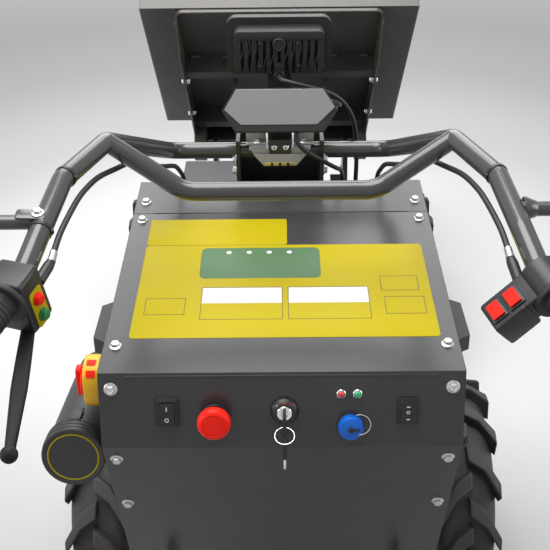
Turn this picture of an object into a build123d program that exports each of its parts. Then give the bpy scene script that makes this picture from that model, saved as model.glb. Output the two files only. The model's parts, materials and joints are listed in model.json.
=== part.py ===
from build123d import *
import math
import os

# Walk-behind battery dumper on four wheels, in millimetres.
# X points to the operator's right, Y forward, Z up.
# The origin is on the floor, under the middle of the whole machine.
# The tub is stored tipped forward, as parked for unloading.
# Values whose name ends in AHEAD are measured forward from the console's rear edge,
# and those ending in BEYOND from its front plate.

# Clearances
RUN_FIT = 0.05
SEAT_FIT = 0.1
SEAM_GAP = 1.0
SIDE_PLAY = 2.0

# Wheels: flat facets keep the lugged tyres light
WHEEL_R = 207.0
TYRE_W = 100.0
TYRE_FACETS = 22
TREAD_R = 187.0
TREAD_HALF_W = 36.0
SHOULDER_R = 165.0
SHOULDER_HALF_W = 47.0
SIDEWALL_R = 135.0
SIDEWALL_HALF_W = 46.0
LUGS_A_SIDE = 14
LUG_L = 28.0
LUG_KNEE_X = 24.0
LUG_OVERLAP = 3.0
LUG_RAKE = 20.0
LUG_SWEEP = 56.0
LUG_TAPER = 2.0
RIM_R = 101.6
RIM_W = 78.0
RIM_FLANGE = 9.0
RIM_DISC = 8.0
HUB_R = 42.0
HUB_L = 60.0

# Axles
TRACK = 624.0
WHEELBASE = 800.0
REAR_AXLE_BEYOND = -24.0
STUB_R = 14.0
AXLE_R = 30.0
GEARBOX_R = 72.0
GEARBOX_W = 120.0
MOTOR_R = 56.0
MOTOR_L = 150.0
MOTOR_OFFSET = 130.0
PEDESTAL_L = 70.0

# Chassis
RAIL_W = 40.0
RAIL_H = 60.0
RAIL_X = 150.0
RAIL_TOP_Z = 390.0
RAIL_REAR_AHEAD = 110.0
RAIL_NOSE = 40.0
CROSS_L = 50.0
REAR_CROSS_AHEAD = 150.0
MIDDLE_CROSS_BEYOND = -14.0
FRONT_CROSS_BEYOND = 411.0
DECK_T = 4.0
DECK_REAR_BEYOND = 9.0
DECK_FRONT_BEYOND = 381.0
DECK_W = 380.0
TIE_T = 10.0
TIE_SIZE = 60.0
TIE_HOLE_R = 11.0

# Battery and hydraulic unit
BATTERY_MARGIN = 12.0
BATTERY_L = 295.0
BATTERY_TOP_Z = 700.0
BATTERY_BEYOND = 76.0
LID_LIP = 6.0
LID_H = 26.0
TANK_GAP = 25.0
TANK_MARGIN = 15.0
TANK_W = 110.0
TANK_L = 130.0
TANK_H = 250.0
TANK_BEYOND = 221.0
VALVE_W = 70.0
VALVE_L = 50.0
PUMP_R = 44.0
PUMP_L = 120.0
PUMP_Z = 470.0

# Console
CONSOLE_W = 436.0
CONSOLE_FRONT_Y = -371.1
CONSOLE_EDGE_Z = 800.0
TOP_LEN = 372.0
FRONT_PLATE_LEN = 98.0
TOP_RISE = 3.7
FACE_LEN = 97.0
FACE_LEAN = 13.4
UNDERCUT = 20.0
SHEET = 3.0
COWL_OUT = 44.0
COWL_LEN = 84.0
COWL_END = 30.0
COWL_H = 24.0
COWL_AHEAD = 242.0
COWL_DROP = 82.0

# Controls on the console
ESTOP_R = 20.0
ESTOP_X = -79.0
ESTOP_DROP = 60.0
ESTOP_STEM = 14.0
ESTOP_HEAD = 15.0
ESTOP_ROUND = 5.0
ESTOP_COLLAR_R = 15.0
ROCKER_W = 26.0
ROCKER_H = 33.0
ROCKER_T = 6.0
ROCKER_LEFT_X = -137.0
ROCKER_RIGHT_X = 150.0
ROCKER_DROP = 50.0
KEY_R = 17.0
KEY_X = 3.0
KEY_DROP = 49.0
KEY_T = 10.0
KEY_BLADE = 4.0
KEY_BOW_H = 24.0
KEY_BOW_L = 27.0
CAP_R = 15.0
CAP_X = 82.0
CAP_DROP = 69.0
CAP_T = 14.0
LAMP_R = 6.0
LAMP_X = (70.5, 90.0)
LAMP_DROP = 28.0
LAMP_T = 5.0
ISOLATOR_H = 62.0
ISOLATOR_L = 52.0
ISOLATOR_T = 20.0
ISOLATOR_AHEAD = 29.0
ISOLATOR_Z = 770.0
KNOB_R = 19.0
KNOB_T = 11.0
DOC_TUBE_R = 36.0
DOC_TUBE_L = 235.0
DOC_TUBE_DIP = 9.8
DOC_CAP_R = 39.0
DOC_CAP_L = 26.0
DOC_AHEAD = -12.0
DOC_Z = 683.0

# Tub
TUB_W = 580.0
TUB_WALL = 4.0
FLOOR_LEN = 537.0
TUB_DEPTH = 330.0
CHUTE_ANGLE = 45.0
RIM_FOLD = 22.0
TIP = 46.6
PIVOT_BEYOND = 951.0
PIVOT_Z = 482.0
FLOOR_ABOVE_PIVOT = 80.0
PIVOT_PIN_R = 12.0
EAR_T = 12.0
EAR_R = 30.0
EAR_NECK = 24.0
SKIRT_X = 217.0
SKIRT_T = 4.0
SKIRT_H = 55.0
SKIRT_REAR_H = 8.0
SKIRT_SLOPE_L = 108.0
SKIRT_CORNER = 16.0
SKIRT_INSET = 3.0
BOSS_W = 26.0
SUB_CROSS_W = 30.0
SUB_CROSS_H = 40.0
SUB_MIDDLE_BEHIND_EYE = 84.0

# Tipping cylinder
ANCHOR_BEYOND = 431.0
ANCHOR_Z = 262.0
ANCHOR_EAR_R = 21.0
EYE_BEHIND_PIVOT = 235.0
EYE_ABOVE_PIVOT = 12.0
BARREL_R = 27.0
BARREL_L = 300.0
BARREL_FOOT_R = 30.0
BARREL_FOOT_W = 44.0
ROD_R = 14.0
ROD_TAIL = 40.0
CYL_PIN_R = 10.0
EYE_DRIFT = 20.0
EYE_WALL = 9.0
EYE_W = 34.0
CLEVIS_X = 100.0
CLEVIS_T = 8.0
CLEVIS_R = 18.0

# Handlebar: places are (half width, ahead of the console's rear edge, height)
TUBE_R = 12.5
HANDLE_CORNER_R = 30.0
CROSS_CORNER_R = 50.0
APEX = (219.0, 214.0, 1005.0)
ARM_HIGH = (255.0, 107.0, 1002.0)
ARM_MID = (265.0, 12.0, 982.0)
GRIP_START = (275.0, -55.0, 960.0)
GRIP_WAY = (0.35, -0.9, -0.25)
CROSS_END = (122.0, 196.0, 943.0)
CORNER_X = 165.0
FRONT_TUBE_BEYOND = -14.0
FRONT_TUBE_Z = 889.0
GUARD_R = 8.5
GUARD_CLEAR = 8.0
GUARD_L = 180.0
GUARD_DROP = 33.0
GUARD_CORNER_R = 34.0
GUARD_LEFT_AHEAD = 30.0
GUARD_RIGHT_AHEAD = 46.0
GRIP_R = 17.0
GRIP_L = 150.0
GRIP_WALL = 4.0
GRIP_FLANGE_R = 26.0
GRIP_FLANGE_T = 6.0
POST_HALF_W = 66.0
POST_T = 6.0
POST_DEPTH = 56.0
POST_FOOT_Z = 600.0
POST_ABOVE_TUBE = 24.0

# Hand controls, measured from the handlebar's axis
POD_START = -10.0
POD_L = 38.0
POD_R = 22.0
RIGHT_POD_TILT = 44.0
RIGHT_LOBE_REACH = 72.0
RIGHT_LOBE_H = 32.0
POD_ROCKER_PLACES = (36.0, 58.0)
POD_ROCKER_W = 15.0
POD_ROCKER_L = 20.0
POD_ROCKER_H = 3.0
LEFT_POD_IN = 22.0
LEFT_POD_OUT = 24.0
LEFT_POD_UP = 20.0
LEFT_POD_DOWN = 50.0
POD_BUTTON_R = 6.0
POD_BUTTON_H = 7.0
RED_BUTTON_DOWN = 12.0
GREEN_BUTTON_DOWN = 35.0
LEVER_END = (250.0, -256.0, 893.0)
LEVER_ROOT_W = 17.0
LEVER_TIP_W = 9.0
LEVER_T = 8.0
LEVER_BALL_R = 8.5

# Display and floodlight
DISPLAY_W = 170.0
DISPLAY_H = 64.0
DISPLAY_T = 18.0
DISPLAY_CHAMFER = 4.0
DISPLAY_TILT = 25.0
DISPLAY_BEYOND = -44.0
DISPLAY_Z = 964.0
HEX_TIP = 20.0
SCREEN_T = 2.0
SCREEN_EDGE = 6.0
STRAP_W = 36.0
STRAP_T = 4.0
SADDLE_T = 3.0
SADDLE_HALF_W = 46.0
SADDLE_L = 62.0
SADDLE_LIP = 24.0
SADDLE_LIP_HALF_W = 24.0
LIGHT_W = 160.0
LIGHT_H = 88.0
LIGHT_T = 50.0
LIGHT_RIM_T = 16.0
LIGHT_EDGE = 12.0
LIGHT_BEYOND = 68.0
LIGHT_Z = 1023.0
LIGHT_CORNER = 14.0
FIN_COUNT = 12
FIN_GAP = 5.0
FIN_DEPTH = 15.0
FIN_TOP = 14.0
LIGHT_BOSS_R = 9.0
LIGHT_BOSS_ABOVE = 10.0
GLAND_R = 6.0
GLAND_L = 9.0
GLAND_UP = 10.0
LENS_T = 4.0
LENS_EDGE = 10.0
FOOT_T = 6.0

# Leads: places are (X, beyond the console's front plate, height)
LEAD_R = 3.5
LEAD_EASE = 0.45
LIGHT_LEAD = [(0, 33.8, 989), (0, 23, 988), (20, 13, 985), (54, 11, 977), (90, 17, 962), (112, 26, 930),
              (120, 32, 888), (121, 33, 844), (120, 31, 808), (118, 21, 784), (117, 9, 777), (117, 0.2, 777)]
DISPLAY_LEAD = [(24, -49.5, 930.9), (24, -54.7, 920), (33, -56, 908), (49, -54, 896), (66, -49, 884),
                (84, -31, 866), (95, -5, 851), (99, 20, 828), (99, 25, 800), (98, 19, 780), (98, 9, 773),
                (98, 0.2, 773)]

# Arm leads: places ahead of the console's rear edge, then (share of the arm's slope, distance below it),
# then places beyond the front plate
ARM_LEAD_REAR = [(247, -25, 966), (246, -4, 972), (245, 20, 976), (242, 56, 979), (236, 106, 983),
                 (224, 160, 981), (208, 204, 972)]
ARM_LEAD_SLOPE = [(0.15, 26), (0.5, 31), (0.86, 26)]
ARM_LEAD_IN = 15.0
ARM_LEAD_FRONT = [(156, -13, 857), (153, 13, 835), (152, 24, 808), (151, 19, 786), (151, 9, 777),
                  (151, 0.2, 777)]

BATTERY_W = DECK_W - BATTERY_MARGIN - TANK_GAP - TANK_W - TANK_MARGIN
BATTERY_X = BATTERY_MARGIN + BATTERY_W / 2 - DECK_W / 2
TANK_X = DECK_W / 2 - TANK_MARGIN - TANK_W / 2
RISE = math.radians(TOP_RISE)
LEAN = math.radians(FACE_LEAN)
CONSOLE_REAR_Y = CONSOLE_FRONT_Y - (TOP_LEN + FRONT_PLATE_LEN) * math.cos(RISE)


def ahead(distance):
    """Y of a place measured forward from the console's rear edge."""
    return CONSOLE_REAR_Y + distance


def beyond(distance):
    """Y of a place measured forward from the console's front plate."""
    return CONSOLE_FRONT_Y + distance


REAR_AXLE_Y = beyond(REAR_AXLE_BEYOND)
FRONT_AXLE_Y = REAR_AXLE_Y + WHEELBASE
PIVOT_Y = beyond(PIVOT_BEYOND)
FLOOR_Z = PIVOT_Z + FLOOR_ABOVE_PIVOT
TUB_REAR_Y = PIVOT_Y - FLOOR_LEN


def prism(points, x0, x1):
    """Solid with a (Y, Z) outline, from x0 to x1."""
    outline = Plane.YZ * Polyline(*points, close=True)
    return Pos(x0, 0, 0) * extrude(make_face(outline), amount=x1 - x0, dir=(1, 0, 0))


def block(x0, x1, y0, y1, z0, z1):
    middle = Pos((x0 + x1) / 2, (y0 + y1) / 2, (z0 + z1) / 2)
    return middle * Box(x1 - x0, y1 - y0, z1 - z0)


def bar_x(radius, x0, x1, y, z):
    return Pos((x0 + x1) / 2, y, z) * Rot(0, 90, 0) * Cylinder(radius, x1 - x0)


def bar_between(start, end, radius):
    run = Vector(*end) - Vector(*start)
    grow = (Align.CENTER, Align.CENTER, Align.MIN)
    return Plane(origin=start, z_dir=run) * Cylinder(radius, run.length, align=grow)


def tube(points, radius, bend):
    path = FilletPolyline(*points, radius=bend)
    return sweep(Plane(origin=path @ 0, z_dir=path % 0) * Circle(radius), path=path)


def offset_points(points, distance, closed=False):
    """Points moved to the left of their line of travel, with mitred corners."""
    moved = []
    count = len(points)
    for i, point in enumerate(points):
        before = points[i - 1] if i > 0 or closed else None
        after = points[(i + 1) % count] if i < count - 1 or closed else None
        normals = []
        for a, b in ((before, point), (point, after)):
            if a is None or b is None:
                continue
            length = math.dist(a, b)
            normals.append(((a[1] - b[1]) / length, (b[0] - a[0]) / length))
        n1, n2 = normals[0], normals[-1]
        share = distance / (1 + n1[0] * n2[0] + n1[1] * n2[1])
        moved.append((point[0] + (n1[0] + n2[0]) * share, point[1] + (n1[1] + n2[1]) * share))
    return moved


def sheet(points, thickness, x0, x1):
    """Bent sheet along a (Y, Z) line, with its thickness to the left of the line."""
    return prism(points + offset_points(points, thickness)[::-1], x0, x1)


def mirrored(part):
    return mirror(part, about=Plane.YZ)


# Places on the console

def top_point(distance):
    return (CONSOLE_REAR_Y + distance * math.cos(RISE), CONSOLE_EDGE_Z + distance * math.sin(RISE))


def face_point(drop):
    return (CONSOLE_REAR_Y - drop * math.sin(LEAN), CONSOLE_EDGE_Z - drop * math.cos(LEAN))


def on_face(x, drop):
    y, z = face_point(drop)
    return Plane(origin=(x, y, z), x_dir=(1, 0, 0), z_dir=(0, -math.cos(LEAN), math.sin(LEAN)))


def foot_point():
    y, z = face_point(FACE_LEN)
    return (y + (z - RAIL_TOP_Z) * math.tan(math.radians(UNDERCUT)), RAIL_TOP_Z)


# Running gear

def tyre_ring():
    """Carcass about the X axis, as a ring of flat facets that touches the rim at the middle of each facet."""
    step = 2 * math.pi / TYRE_FACETS
    spread = 1 / math.cos(step / 2)
    bead = RIM_W / 2 - RIM_FLANGE / 2 - SEAT_FIT
    seat = (RIM_R + SEAT_FIT) * spread
    half = [(bead, seat), (bead, seat + RIM_FLANGE), (SIDEWALL_HALF_W, SIDEWALL_R),
            (SHOULDER_HALF_W, SHOULDER_R), (TREAD_HALF_W, TREAD_R)]
    profile = half + [(-x, r) for x, r in half[::-1]]
    faces = []
    for i in range(TYRE_FACETS):
        a0, a1 = i * step, (i + 1) * step
        for (x0, r0), (x1, r1) in zip(profile, profile[1:] + profile[:1]):
            corners = [(x0, r0 * math.sin(a0), r0 * math.cos(a0)), (x1, r1 * math.sin(a0), r1 * math.cos(a0)),
                       (x1, r1 * math.sin(a1), r1 * math.cos(a1)), (x0, r0 * math.sin(a1), r0 * math.cos(a1))]
            faces.append(Face(Wire.make_polygon(corners, close=True)))
    return Solid(Shell(faces))


def lug_outline():
    """Plan of one lug on the right half of the tread, with Y towards the way the tyre rolls at its top."""
    half = TYRE_W / 2
    inner, knee, outer = LUG_SWEEP / 2 + LUG_RAKE / 2, LUG_SWEEP / 2 - LUG_RAKE / 2, -LUG_SWEEP / 2
    front = [(-LUG_OVERLAP, inner), (LUG_KNEE_X, knee), (half, outer)]
    back = [(half, outer - LUG_L + LUG_TAPER), (LUG_KNEE_X, knee - LUG_L), (-LUG_OVERLAP, inner - LUG_L)]
    middle = (front[0][1] + back[0][1]) / 2
    return [(x, y - middle) for x, y in front + back]


def make_tyre(side, axle_y):
    outline = lug_outline()
    end = max(y for x, y in outline)
    top = math.sqrt(WHEEL_R ** 2 - end ** 2)
    plan = make_face(Polyline(*outline, close=True))
    right = Pos(0, 0, SHOULDER_R) * extrude(plan, amount=top - SHOULDER_R)
    left = mirrored(right)
    pitch = 360 / LUGS_A_SIDE
    bottom = 180 + math.degrees(math.atan2(end, top))
    lugs = []
    for i in range(LUGS_A_SIDE):
        lugs.append(Rot(bottom + i * pitch, 0, 0) * right)
        lugs.append(Rot(bottom + (i + 0.5) * pitch, 0, 0) * left)
    tyre = tyre_ring().fuse(*lugs)
    return Pos(side * TRACK / 2, axle_y, WHEEL_R) * (tyre if side > 0 else mirrored(tyre))


def make_rim(side, axle_y):
    half = RIM_W / 2
    inner = RIM_R - RIM_DISC
    flange = RIM_R + RIM_FLANGE
    lip = half - RIM_FLANGE / 2
    barrel = Polyline(
        (-half, inner), (-half, flange), (-lip, flange), (-lip, RIM_R), (lip, RIM_R), (lip, flange),
        (half, flange), (half, inner), close=True)
    rim = revolve(make_face(barrel), axis=Axis.X)
    disc = bar_x(inner + RIM_DISC / 2, 0, RIM_DISC, 0, 0)
    hub = bar_x(HUB_R, -HUB_L / 2, HUB_L / 2, 0, 0)
    wheel = rim + disc + hub - bar_x(STUB_R + RUN_FIT, -HUB_L, HUB_L, 0, 0)
    turn = Rot(0, 0, 0) if side > 0 else Rot(0, 0, 180)
    return Pos(side * TRACK / 2, axle_y, WHEEL_R) * turn * wheel


def make_axle(axle_y, motor_way):
    inner = TRACK / 2 - HUB_L / 2 - SIDE_PLAY
    beam = bar_x(AXLE_R, -inner, inner, axle_y, WHEEL_R)
    stub = TRACK / 2 + HUB_L / 2
    shaft = bar_x(STUB_R, -stub, stub, axle_y, WHEEL_R)
    gears = bar_x(GEARBOX_R, -GEARBOX_W / 2, GEARBOX_W / 2, axle_y, WHEEL_R)
    reach = axle_y + motor_way * MOTOR_OFFSET
    case = block(-GEARBOX_W / 4, GEARBOX_W / 4, min(axle_y, reach), max(axle_y, reach),
                 WHEEL_R - MOTOR_R, WHEEL_R + MOTOR_R)
    return beam + shaft + gears + case


def make_pedestals():
    """Blocks that hang the axle beams under the rails, each with a half-round saddle over its beam."""
    pedestals = []
    for axle_y in (REAR_AXLE_Y, FRONT_AXLE_Y):
        for way in (-1, 1):
            x = way * RAIL_X
            blank = block(x - RAIL_W / 2, x + RAIL_W / 2, axle_y - PEDESTAL_L / 2, axle_y + PEDESTAL_L / 2,
                          WHEEL_R, RAIL_TOP_Z - RAIL_H)
            pedestals.append(blank - bar_x(AXLE_R + SEAT_FIT, -TRACK, TRACK, axle_y, WHEEL_R))
    return Compound(pedestals)


def make_motors():
    motors = []
    for axle_y, way in ((REAR_AXLE_Y, -1), (FRONT_AXLE_Y, 1)):
        start = GEARBOX_W / 4
        motors.append(bar_x(MOTOR_R, start, start + MOTOR_L, axle_y + way * MOTOR_OFFSET, WHEEL_R))
    return Compound(motors)


# Chassis

def make_chassis_rails():
    rails = []
    low = RAIL_TOP_Z - RAIL_H
    rear = ahead(RAIL_REAR_AHEAD)
    nose = PIVOT_Y + RAIL_NOSE
    for way in (-1, 1):
        x0 = way * RAIL_X - RAIL_W / 2
        x1 = way * RAIL_X + RAIL_W / 2
        rail = block(x0, x1, rear, nose, low, RAIL_TOP_Z)
        ear_out = RAIL_X + RAIL_W / 2
        ear_x = sorted((way * (ear_out - EAR_T), way * ear_out))
        ear = prism([(PIVOT_Y - RAIL_NOSE, RAIL_TOP_Z), (nose, RAIL_TOP_Z),
                     (PIVOT_Y + EAR_NECK, PIVOT_Z), (PIVOT_Y - EAR_NECK, PIVOT_Z)], *ear_x)
        ear += bar_x(EAR_R, *ear_x, PIVOT_Y, PIVOT_Z)
        pin_x = sorted((way * (ear_out - EAR_T), way * SKIRT_X))
        rail += ear + bar_x(PIVOT_PIN_R, *pin_x, PIVOT_Y, PIVOT_Z)
        tie_x = sorted((way * (ear_out - TIE_T), way * ear_out))
        for y0 in (rear - TIE_SIZE, nose):
            rail += block(*tie_x, y0, y0 + TIE_SIZE, low, RAIL_TOP_Z)
            rail -= bar_x(TIE_HOLE_R, *tie_x, y0 + TIE_SIZE / 2, RAIL_TOP_Z - RAIL_H / 2)
        rails.append(rail)
    return Compound(rails)


def make_cross_members():
    inner = RAIL_X - RAIL_W / 2
    low = RAIL_TOP_Z - RAIL_H
    members = []
    for y in (ahead(REAR_CROSS_AHEAD), beyond(MIDDLE_CROSS_BEYOND), beyond(FRONT_CROSS_BEYOND)):
        members.append(block(-inner, inner, y - CROSS_L / 2, y + CROSS_L / 2, low, RAIL_TOP_Z))
    anchor_y = beyond(ANCHOR_BEYOND)
    gap = BARREL_R + SIDE_PLAY
    front = members[-1] + bar_x(CYL_PIN_R, -gap, gap, anchor_y, ANCHOR_Z)
    for way in (-1, 1):
        x0, x1 = sorted((way * gap, way * (gap + EAR_T)))
        front += prism([(y - CROSS_L / 2, low), (y + CROSS_L / 2, low), (anchor_y + ANCHOR_EAR_R, ANCHOR_Z),
                        (anchor_y - ANCHOR_EAR_R, ANCHOR_Z)], x0, x1)
        front += bar_x(ANCHOR_EAR_R, x0, x1, anchor_y, ANCHOR_Z)
    members[-1] = front
    return Compound(members)


def make_deck():
    return block(-DECK_W / 2, DECK_W / 2, beyond(DECK_REAR_BEYOND), beyond(DECK_FRONT_BEYOND),
                 RAIL_TOP_Z, RAIL_TOP_Z + DECK_T)


def make_battery_box():
    z0 = RAIL_TOP_Z + DECK_T
    x0 = BATTERY_X - BATTERY_W / 2
    y0 = beyond(BATTERY_BEYOND)
    body = block(x0, x0 + BATTERY_W, y0, y0 + BATTERY_L, z0, BATTERY_TOP_Z)
    lid = block(x0 - LID_LIP, x0 + BATTERY_W + LID_LIP, y0 - LID_LIP, y0 + BATTERY_L + LID_LIP,
                BATTERY_TOP_Z - LID_H, BATTERY_TOP_Z)
    return body + lid


def make_hydraulic_unit():
    z0 = RAIL_TOP_Z + DECK_T
    y0 = beyond(TANK_BEYOND)
    tank = block(TANK_X - TANK_W / 2, TANK_X + TANK_W / 2, y0, y0 + TANK_L, z0, z0 + TANK_H)
    valve = block(TANK_X - VALVE_W / 2, TANK_X + VALVE_W / 2, y0 - VALVE_L, y0, z0, PUMP_Z + VALVE_W / 2)
    pump = bar_between((TANK_X, y0 - VALVE_L, PUMP_Z), (TANK_X, y0 - VALVE_L - PUMP_L, PUMP_Z), PUMP_R)
    return tank + valve + pump


# Console

def make_console_cover():
    line = [top_point(TOP_LEN), top_point(0), face_point(FACE_LEN), foot_point()]
    return sheet(line, SHEET, -CONSOLE_W / 2, CONSOLE_W / 2)


def make_console_front():
    far = top_point(TOP_LEN + FRONT_PLATE_LEN)
    line = [(far[0], RAIL_TOP_Z), far, top_point(TOP_LEN + SEAM_GAP)]
    return sheet(line, SHEET, -CONSOLE_W / 2, CONSOLE_W / 2)


def make_console_sides():
    far = top_point(TOP_LEN + FRONT_PLATE_LEN)
    outline = [top_point(0), face_point(FACE_LEN), foot_point(), (far[0], RAIL_TOP_Z), far]
    inner = offset_points(outline, SHEET, closed=True)
    inner[2] = (foot_point()[0] + SHEET / math.cos(math.radians(UNDERCUT)), RAIL_TOP_Z)
    inner[3] = (far[0] - SHEET, RAIL_TOP_Z)
    half = CONSOLE_W / 2
    side = prism(inner, half - SHEET, half)
    y = ahead(COWL_AHEAD)
    reach = COWL_LEN / 2
    plan = Polyline((half, y - reach - COWL_END), (half + COWL_OUT, y - reach), (half + COWL_OUT, y + reach),
                    (half, y + reach + COWL_END), close=True)
    top = CONSOLE_EDGE_Z - COWL_DROP
    side += Pos(0, 0, top - COWL_H) * extrude(make_face(plan), amount=COWL_H)
    return Compound([side, mirrored(side)])


# Console fittings

def stud(place, radius, height, lift=0.0):
    grow = (Align.CENTER, Align.CENTER, Align.MIN)
    return place * Pos(0, 0, lift) * Cylinder(radius, height, align=grow)


def make_estop_collar():
    return stud(on_face(ESTOP_X, ESTOP_DROP), ESTOP_COLLAR_R, ESTOP_STEM)


def make_estop_head():
    head = stud(on_face(ESTOP_X, ESTOP_DROP), ESTOP_R, ESTOP_HEAD, ESTOP_STEM)
    outward = Axis((0, 0, 0), (0, -math.cos(LEAN), math.sin(LEAN)))
    return chamfer(head.edges().group_by(outward)[-1], ESTOP_ROUND)


def make_rockers():
    grow = (Align.CENTER, Align.CENTER, Align.MIN)
    rockers = []
    for x in (ROCKER_LEFT_X, ROCKER_RIGHT_X):
        rockers.append(on_face(x, ROCKER_DROP) * Box(ROCKER_W, ROCKER_H, ROCKER_T, align=grow))
    return Compound(rockers)


def make_key_switch():
    return stud(on_face(KEY_X, KEY_DROP), KEY_R, KEY_T)


def make_key():
    place = on_face(KEY_X, KEY_DROP)
    grow = (Align.CENTER, Align.CENTER, Align.MIN)
    return place * Pos(0, 0, KEY_T) * Box(KEY_BLADE, KEY_BOW_H, KEY_BOW_L, align=grow)


def make_charge_cap():
    return stud(on_face(CAP_X, CAP_DROP), CAP_R, CAP_T)


def make_lamps():
    return Compound([stud(on_face(x, LAMP_DROP), LAMP_R, LAMP_T) for x in LAMP_X])


def make_isolator():
    outer = -CONSOLE_W / 2
    y = ahead(ISOLATOR_AHEAD)
    return block(outer - ISOLATOR_T, outer, y - ISOLATOR_L / 2, y + ISOLATOR_L / 2,
                 ISOLATOR_Z - ISOLATOR_H / 2, ISOLATOR_Z + ISOLATOR_H / 2)


def make_isolator_knob():
    outer = -CONSOLE_W / 2 - ISOLATOR_T
    return bar_x(KNOB_R, outer - KNOB_T, outer, ahead(ISOLATOR_AHEAD), ISOLATOR_Z)


def make_document_tube():
    x = -CONSOLE_W / 2 - DOC_CAP_R
    dip = math.radians(DOC_TUBE_DIP)
    start = Vector(x, ahead(DOC_AHEAD), DOC_Z)
    run = Vector(0, math.cos(dip), -math.sin(dip))
    body = bar_between(start + run * DOC_CAP_L, start + run * DOC_TUBE_L, DOC_TUBE_R)
    return body + bar_between(start, start + run * DOC_CAP_L, DOC_CAP_R)


# Handlebar

def at(point, way=1):
    """A handlebar point given as (half width, ahead, height), on the right or left side."""
    return (way * point[0], ahead(point[1]), point[2])


def grip_point(distance, way=1):
    length = math.hypot(*GRIP_WAY)
    return at(tuple(s + distance * w / length for s, w in zip(GRIP_START, GRIP_WAY)), way)


def arm_points(way):
    corner = (way * CORNER_X, beyond(FRONT_TUBE_BEYOND), FRONT_TUBE_Z)
    bends = [at(point, way) for point in (APEX, ARM_HIGH, ARM_MID, GRIP_START)]
    return [corner] + bends + [grip_point(GRIP_L, way)]


def make_handlebar():
    return tube(arm_points(-1)[::-1] + arm_points(1), TUBE_R, HANDLE_CORNER_R)


def make_handlebar_cross(handlebar):
    cross = tube([at(APEX, -1), at(CROSS_END, -1), at(CROSS_END, 1), at(APEX, 1)], TUBE_R, CROSS_CORNER_R)
    return cross - handlebar


def arm_point(distance, way):
    """Place on the straight of an arm between its two upper bends."""
    share = (ARM_HIGH[1] - distance) / (ARM_HIGH[1] - ARM_MID[1])
    return at(tuple(a + (b - a) * share for a, b in zip(ARM_HIGH, ARM_MID)), way)


def make_hand_guards(handlebar):
    """Bars welded to the arms, each passing outside the end of its grip."""
    half_width = grip_point(GRIP_L)[0] + GRIP_R + GUARD_CLEAR + GUARD_R
    guards = []
    for way, distance in ((-1, GUARD_LEFT_AHEAD), (1, GUARD_RIGHT_AHEAD)):
        start = arm_point(distance, way)
        out = (way * half_width, start[1], start[2])
        end = (out[0], out[1] - GUARD_L, out[2] - GUARD_DROP)
        guard = tube([start, out, end], GUARD_R, GUARD_CORNER_R) - handlebar
        guards.append(guard.solids().sort_by(SortBy.VOLUME)[-1])
    return Compound(guards)


def make_grips():
    grips = []
    start = POD_START + POD_L + SEAM_GAP
    for way in (-1, 1):
        sleeve = bar_between(grip_point(start, way), grip_point(GRIP_L + GRIP_WALL, way), GRIP_R)
        sleeve += bar_between(grip_point(start, way), grip_point(start + GRIP_FLANGE_T, way), GRIP_FLANGE_R)
        grips.append(sleeve - bar_between(grip_point(0, way), grip_point(GRIP_L, way), TUBE_R + SEAT_FIT))
    return Compound(grips)


def pod_place(way):
    """Plane across the handlebar at a hand control: Z back along the grip, X to the right, Y up."""
    run = Vector(*grip_point(GRIP_L, way)) - Vector(*grip_point(0, way))
    return Plane(origin=grip_point(POD_START, way), x_dir=Vector(0, 0, 1).cross(run), z_dir=run)


def right_lobe_place():
    """Plane at the right hand control's lobe, turned about the handlebar so that the lobe hangs inwards."""
    return pod_place(1) * Rot(0, 0, RIGHT_POD_TILT)


def bored(pod, way, handlebar):
    return pod - pod_place(way) * Cylinder(TUBE_R + SEAT_FIT, 4 * POD_L) - handlebar


def make_control_pods(handlebar):
    grow = (Align.CENTER, Align.CENTER, Align.MIN)
    right = pod_place(1) * Cylinder(POD_R, POD_L, align=grow)
    lobe = Box(RIGHT_LOBE_REACH, RIGHT_LOBE_H, POD_L, align=(Align.MAX, Align.CENTER, Align.MIN))
    right += right_lobe_place() * lobe
    corner = (Align.MIN, Align.MIN, Align.MIN)
    left = Box(LEFT_POD_OUT + LEFT_POD_IN, LEFT_POD_DOWN + LEFT_POD_UP, POD_L, align=corner)
    left = pod_place(-1) * Pos(-LEFT_POD_OUT, -LEFT_POD_DOWN, 0) * left
    return Compound([bored(left, -1, handlebar), bored(right, 1, handlebar)])


def make_pod_button(down):
    grow = (Align.CENTER, Align.CENTER, Align.MIN)
    place = pod_place(-1) * Pos(LEFT_POD_IN, -down, POD_L / 2) * Rot(0, 90, 0)
    return place * Cylinder(POD_BUTTON_R, POD_BUTTON_H, align=grow)


def make_pod_rockers():
    rockers = []
    for reach in POD_ROCKER_PLACES:
        place = right_lobe_place() * Pos(-reach, RIGHT_LOBE_H / 2 + POD_ROCKER_H / 2, POD_L / 2)
        rockers.append(place * Box(POD_ROCKER_W, POD_ROCKER_H, POD_ROCKER_L))
    return Compound(rockers)


def make_brake_lever(pods):
    """Flat tapered blade with a ball end, hinged under the left hand control."""
    hinge_place = pod_place(-1) * Pos(0, -LEFT_POD_DOWN - LEVER_T / 2, POD_L / 2)
    start = hinge_place.position
    end = Vector(*at(LEVER_END, -1))
    run = end - start
    place = Plane(origin=start, x_dir=run, z_dir=run.cross(Vector(0, 0, 1)).cross(run))
    root, tip = LEVER_ROOT_W / 2, LEVER_TIP_W / 2
    plan = make_face(Polyline((-root, -root), (root, -root), (run.length, -tip), (run.length, tip),
                              (root, root), (-root, root), close=True))
    blade = place * Pos(0, 0, -LEVER_T / 2) * extrude(plan, amount=LEVER_T)
    hinge = hinge_place * Box(LEVER_ROOT_W, LEVER_T, LEVER_ROOT_W)
    return blade + hinge + Pos(*end) * Sphere(LEVER_BALL_R) - pods


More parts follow.
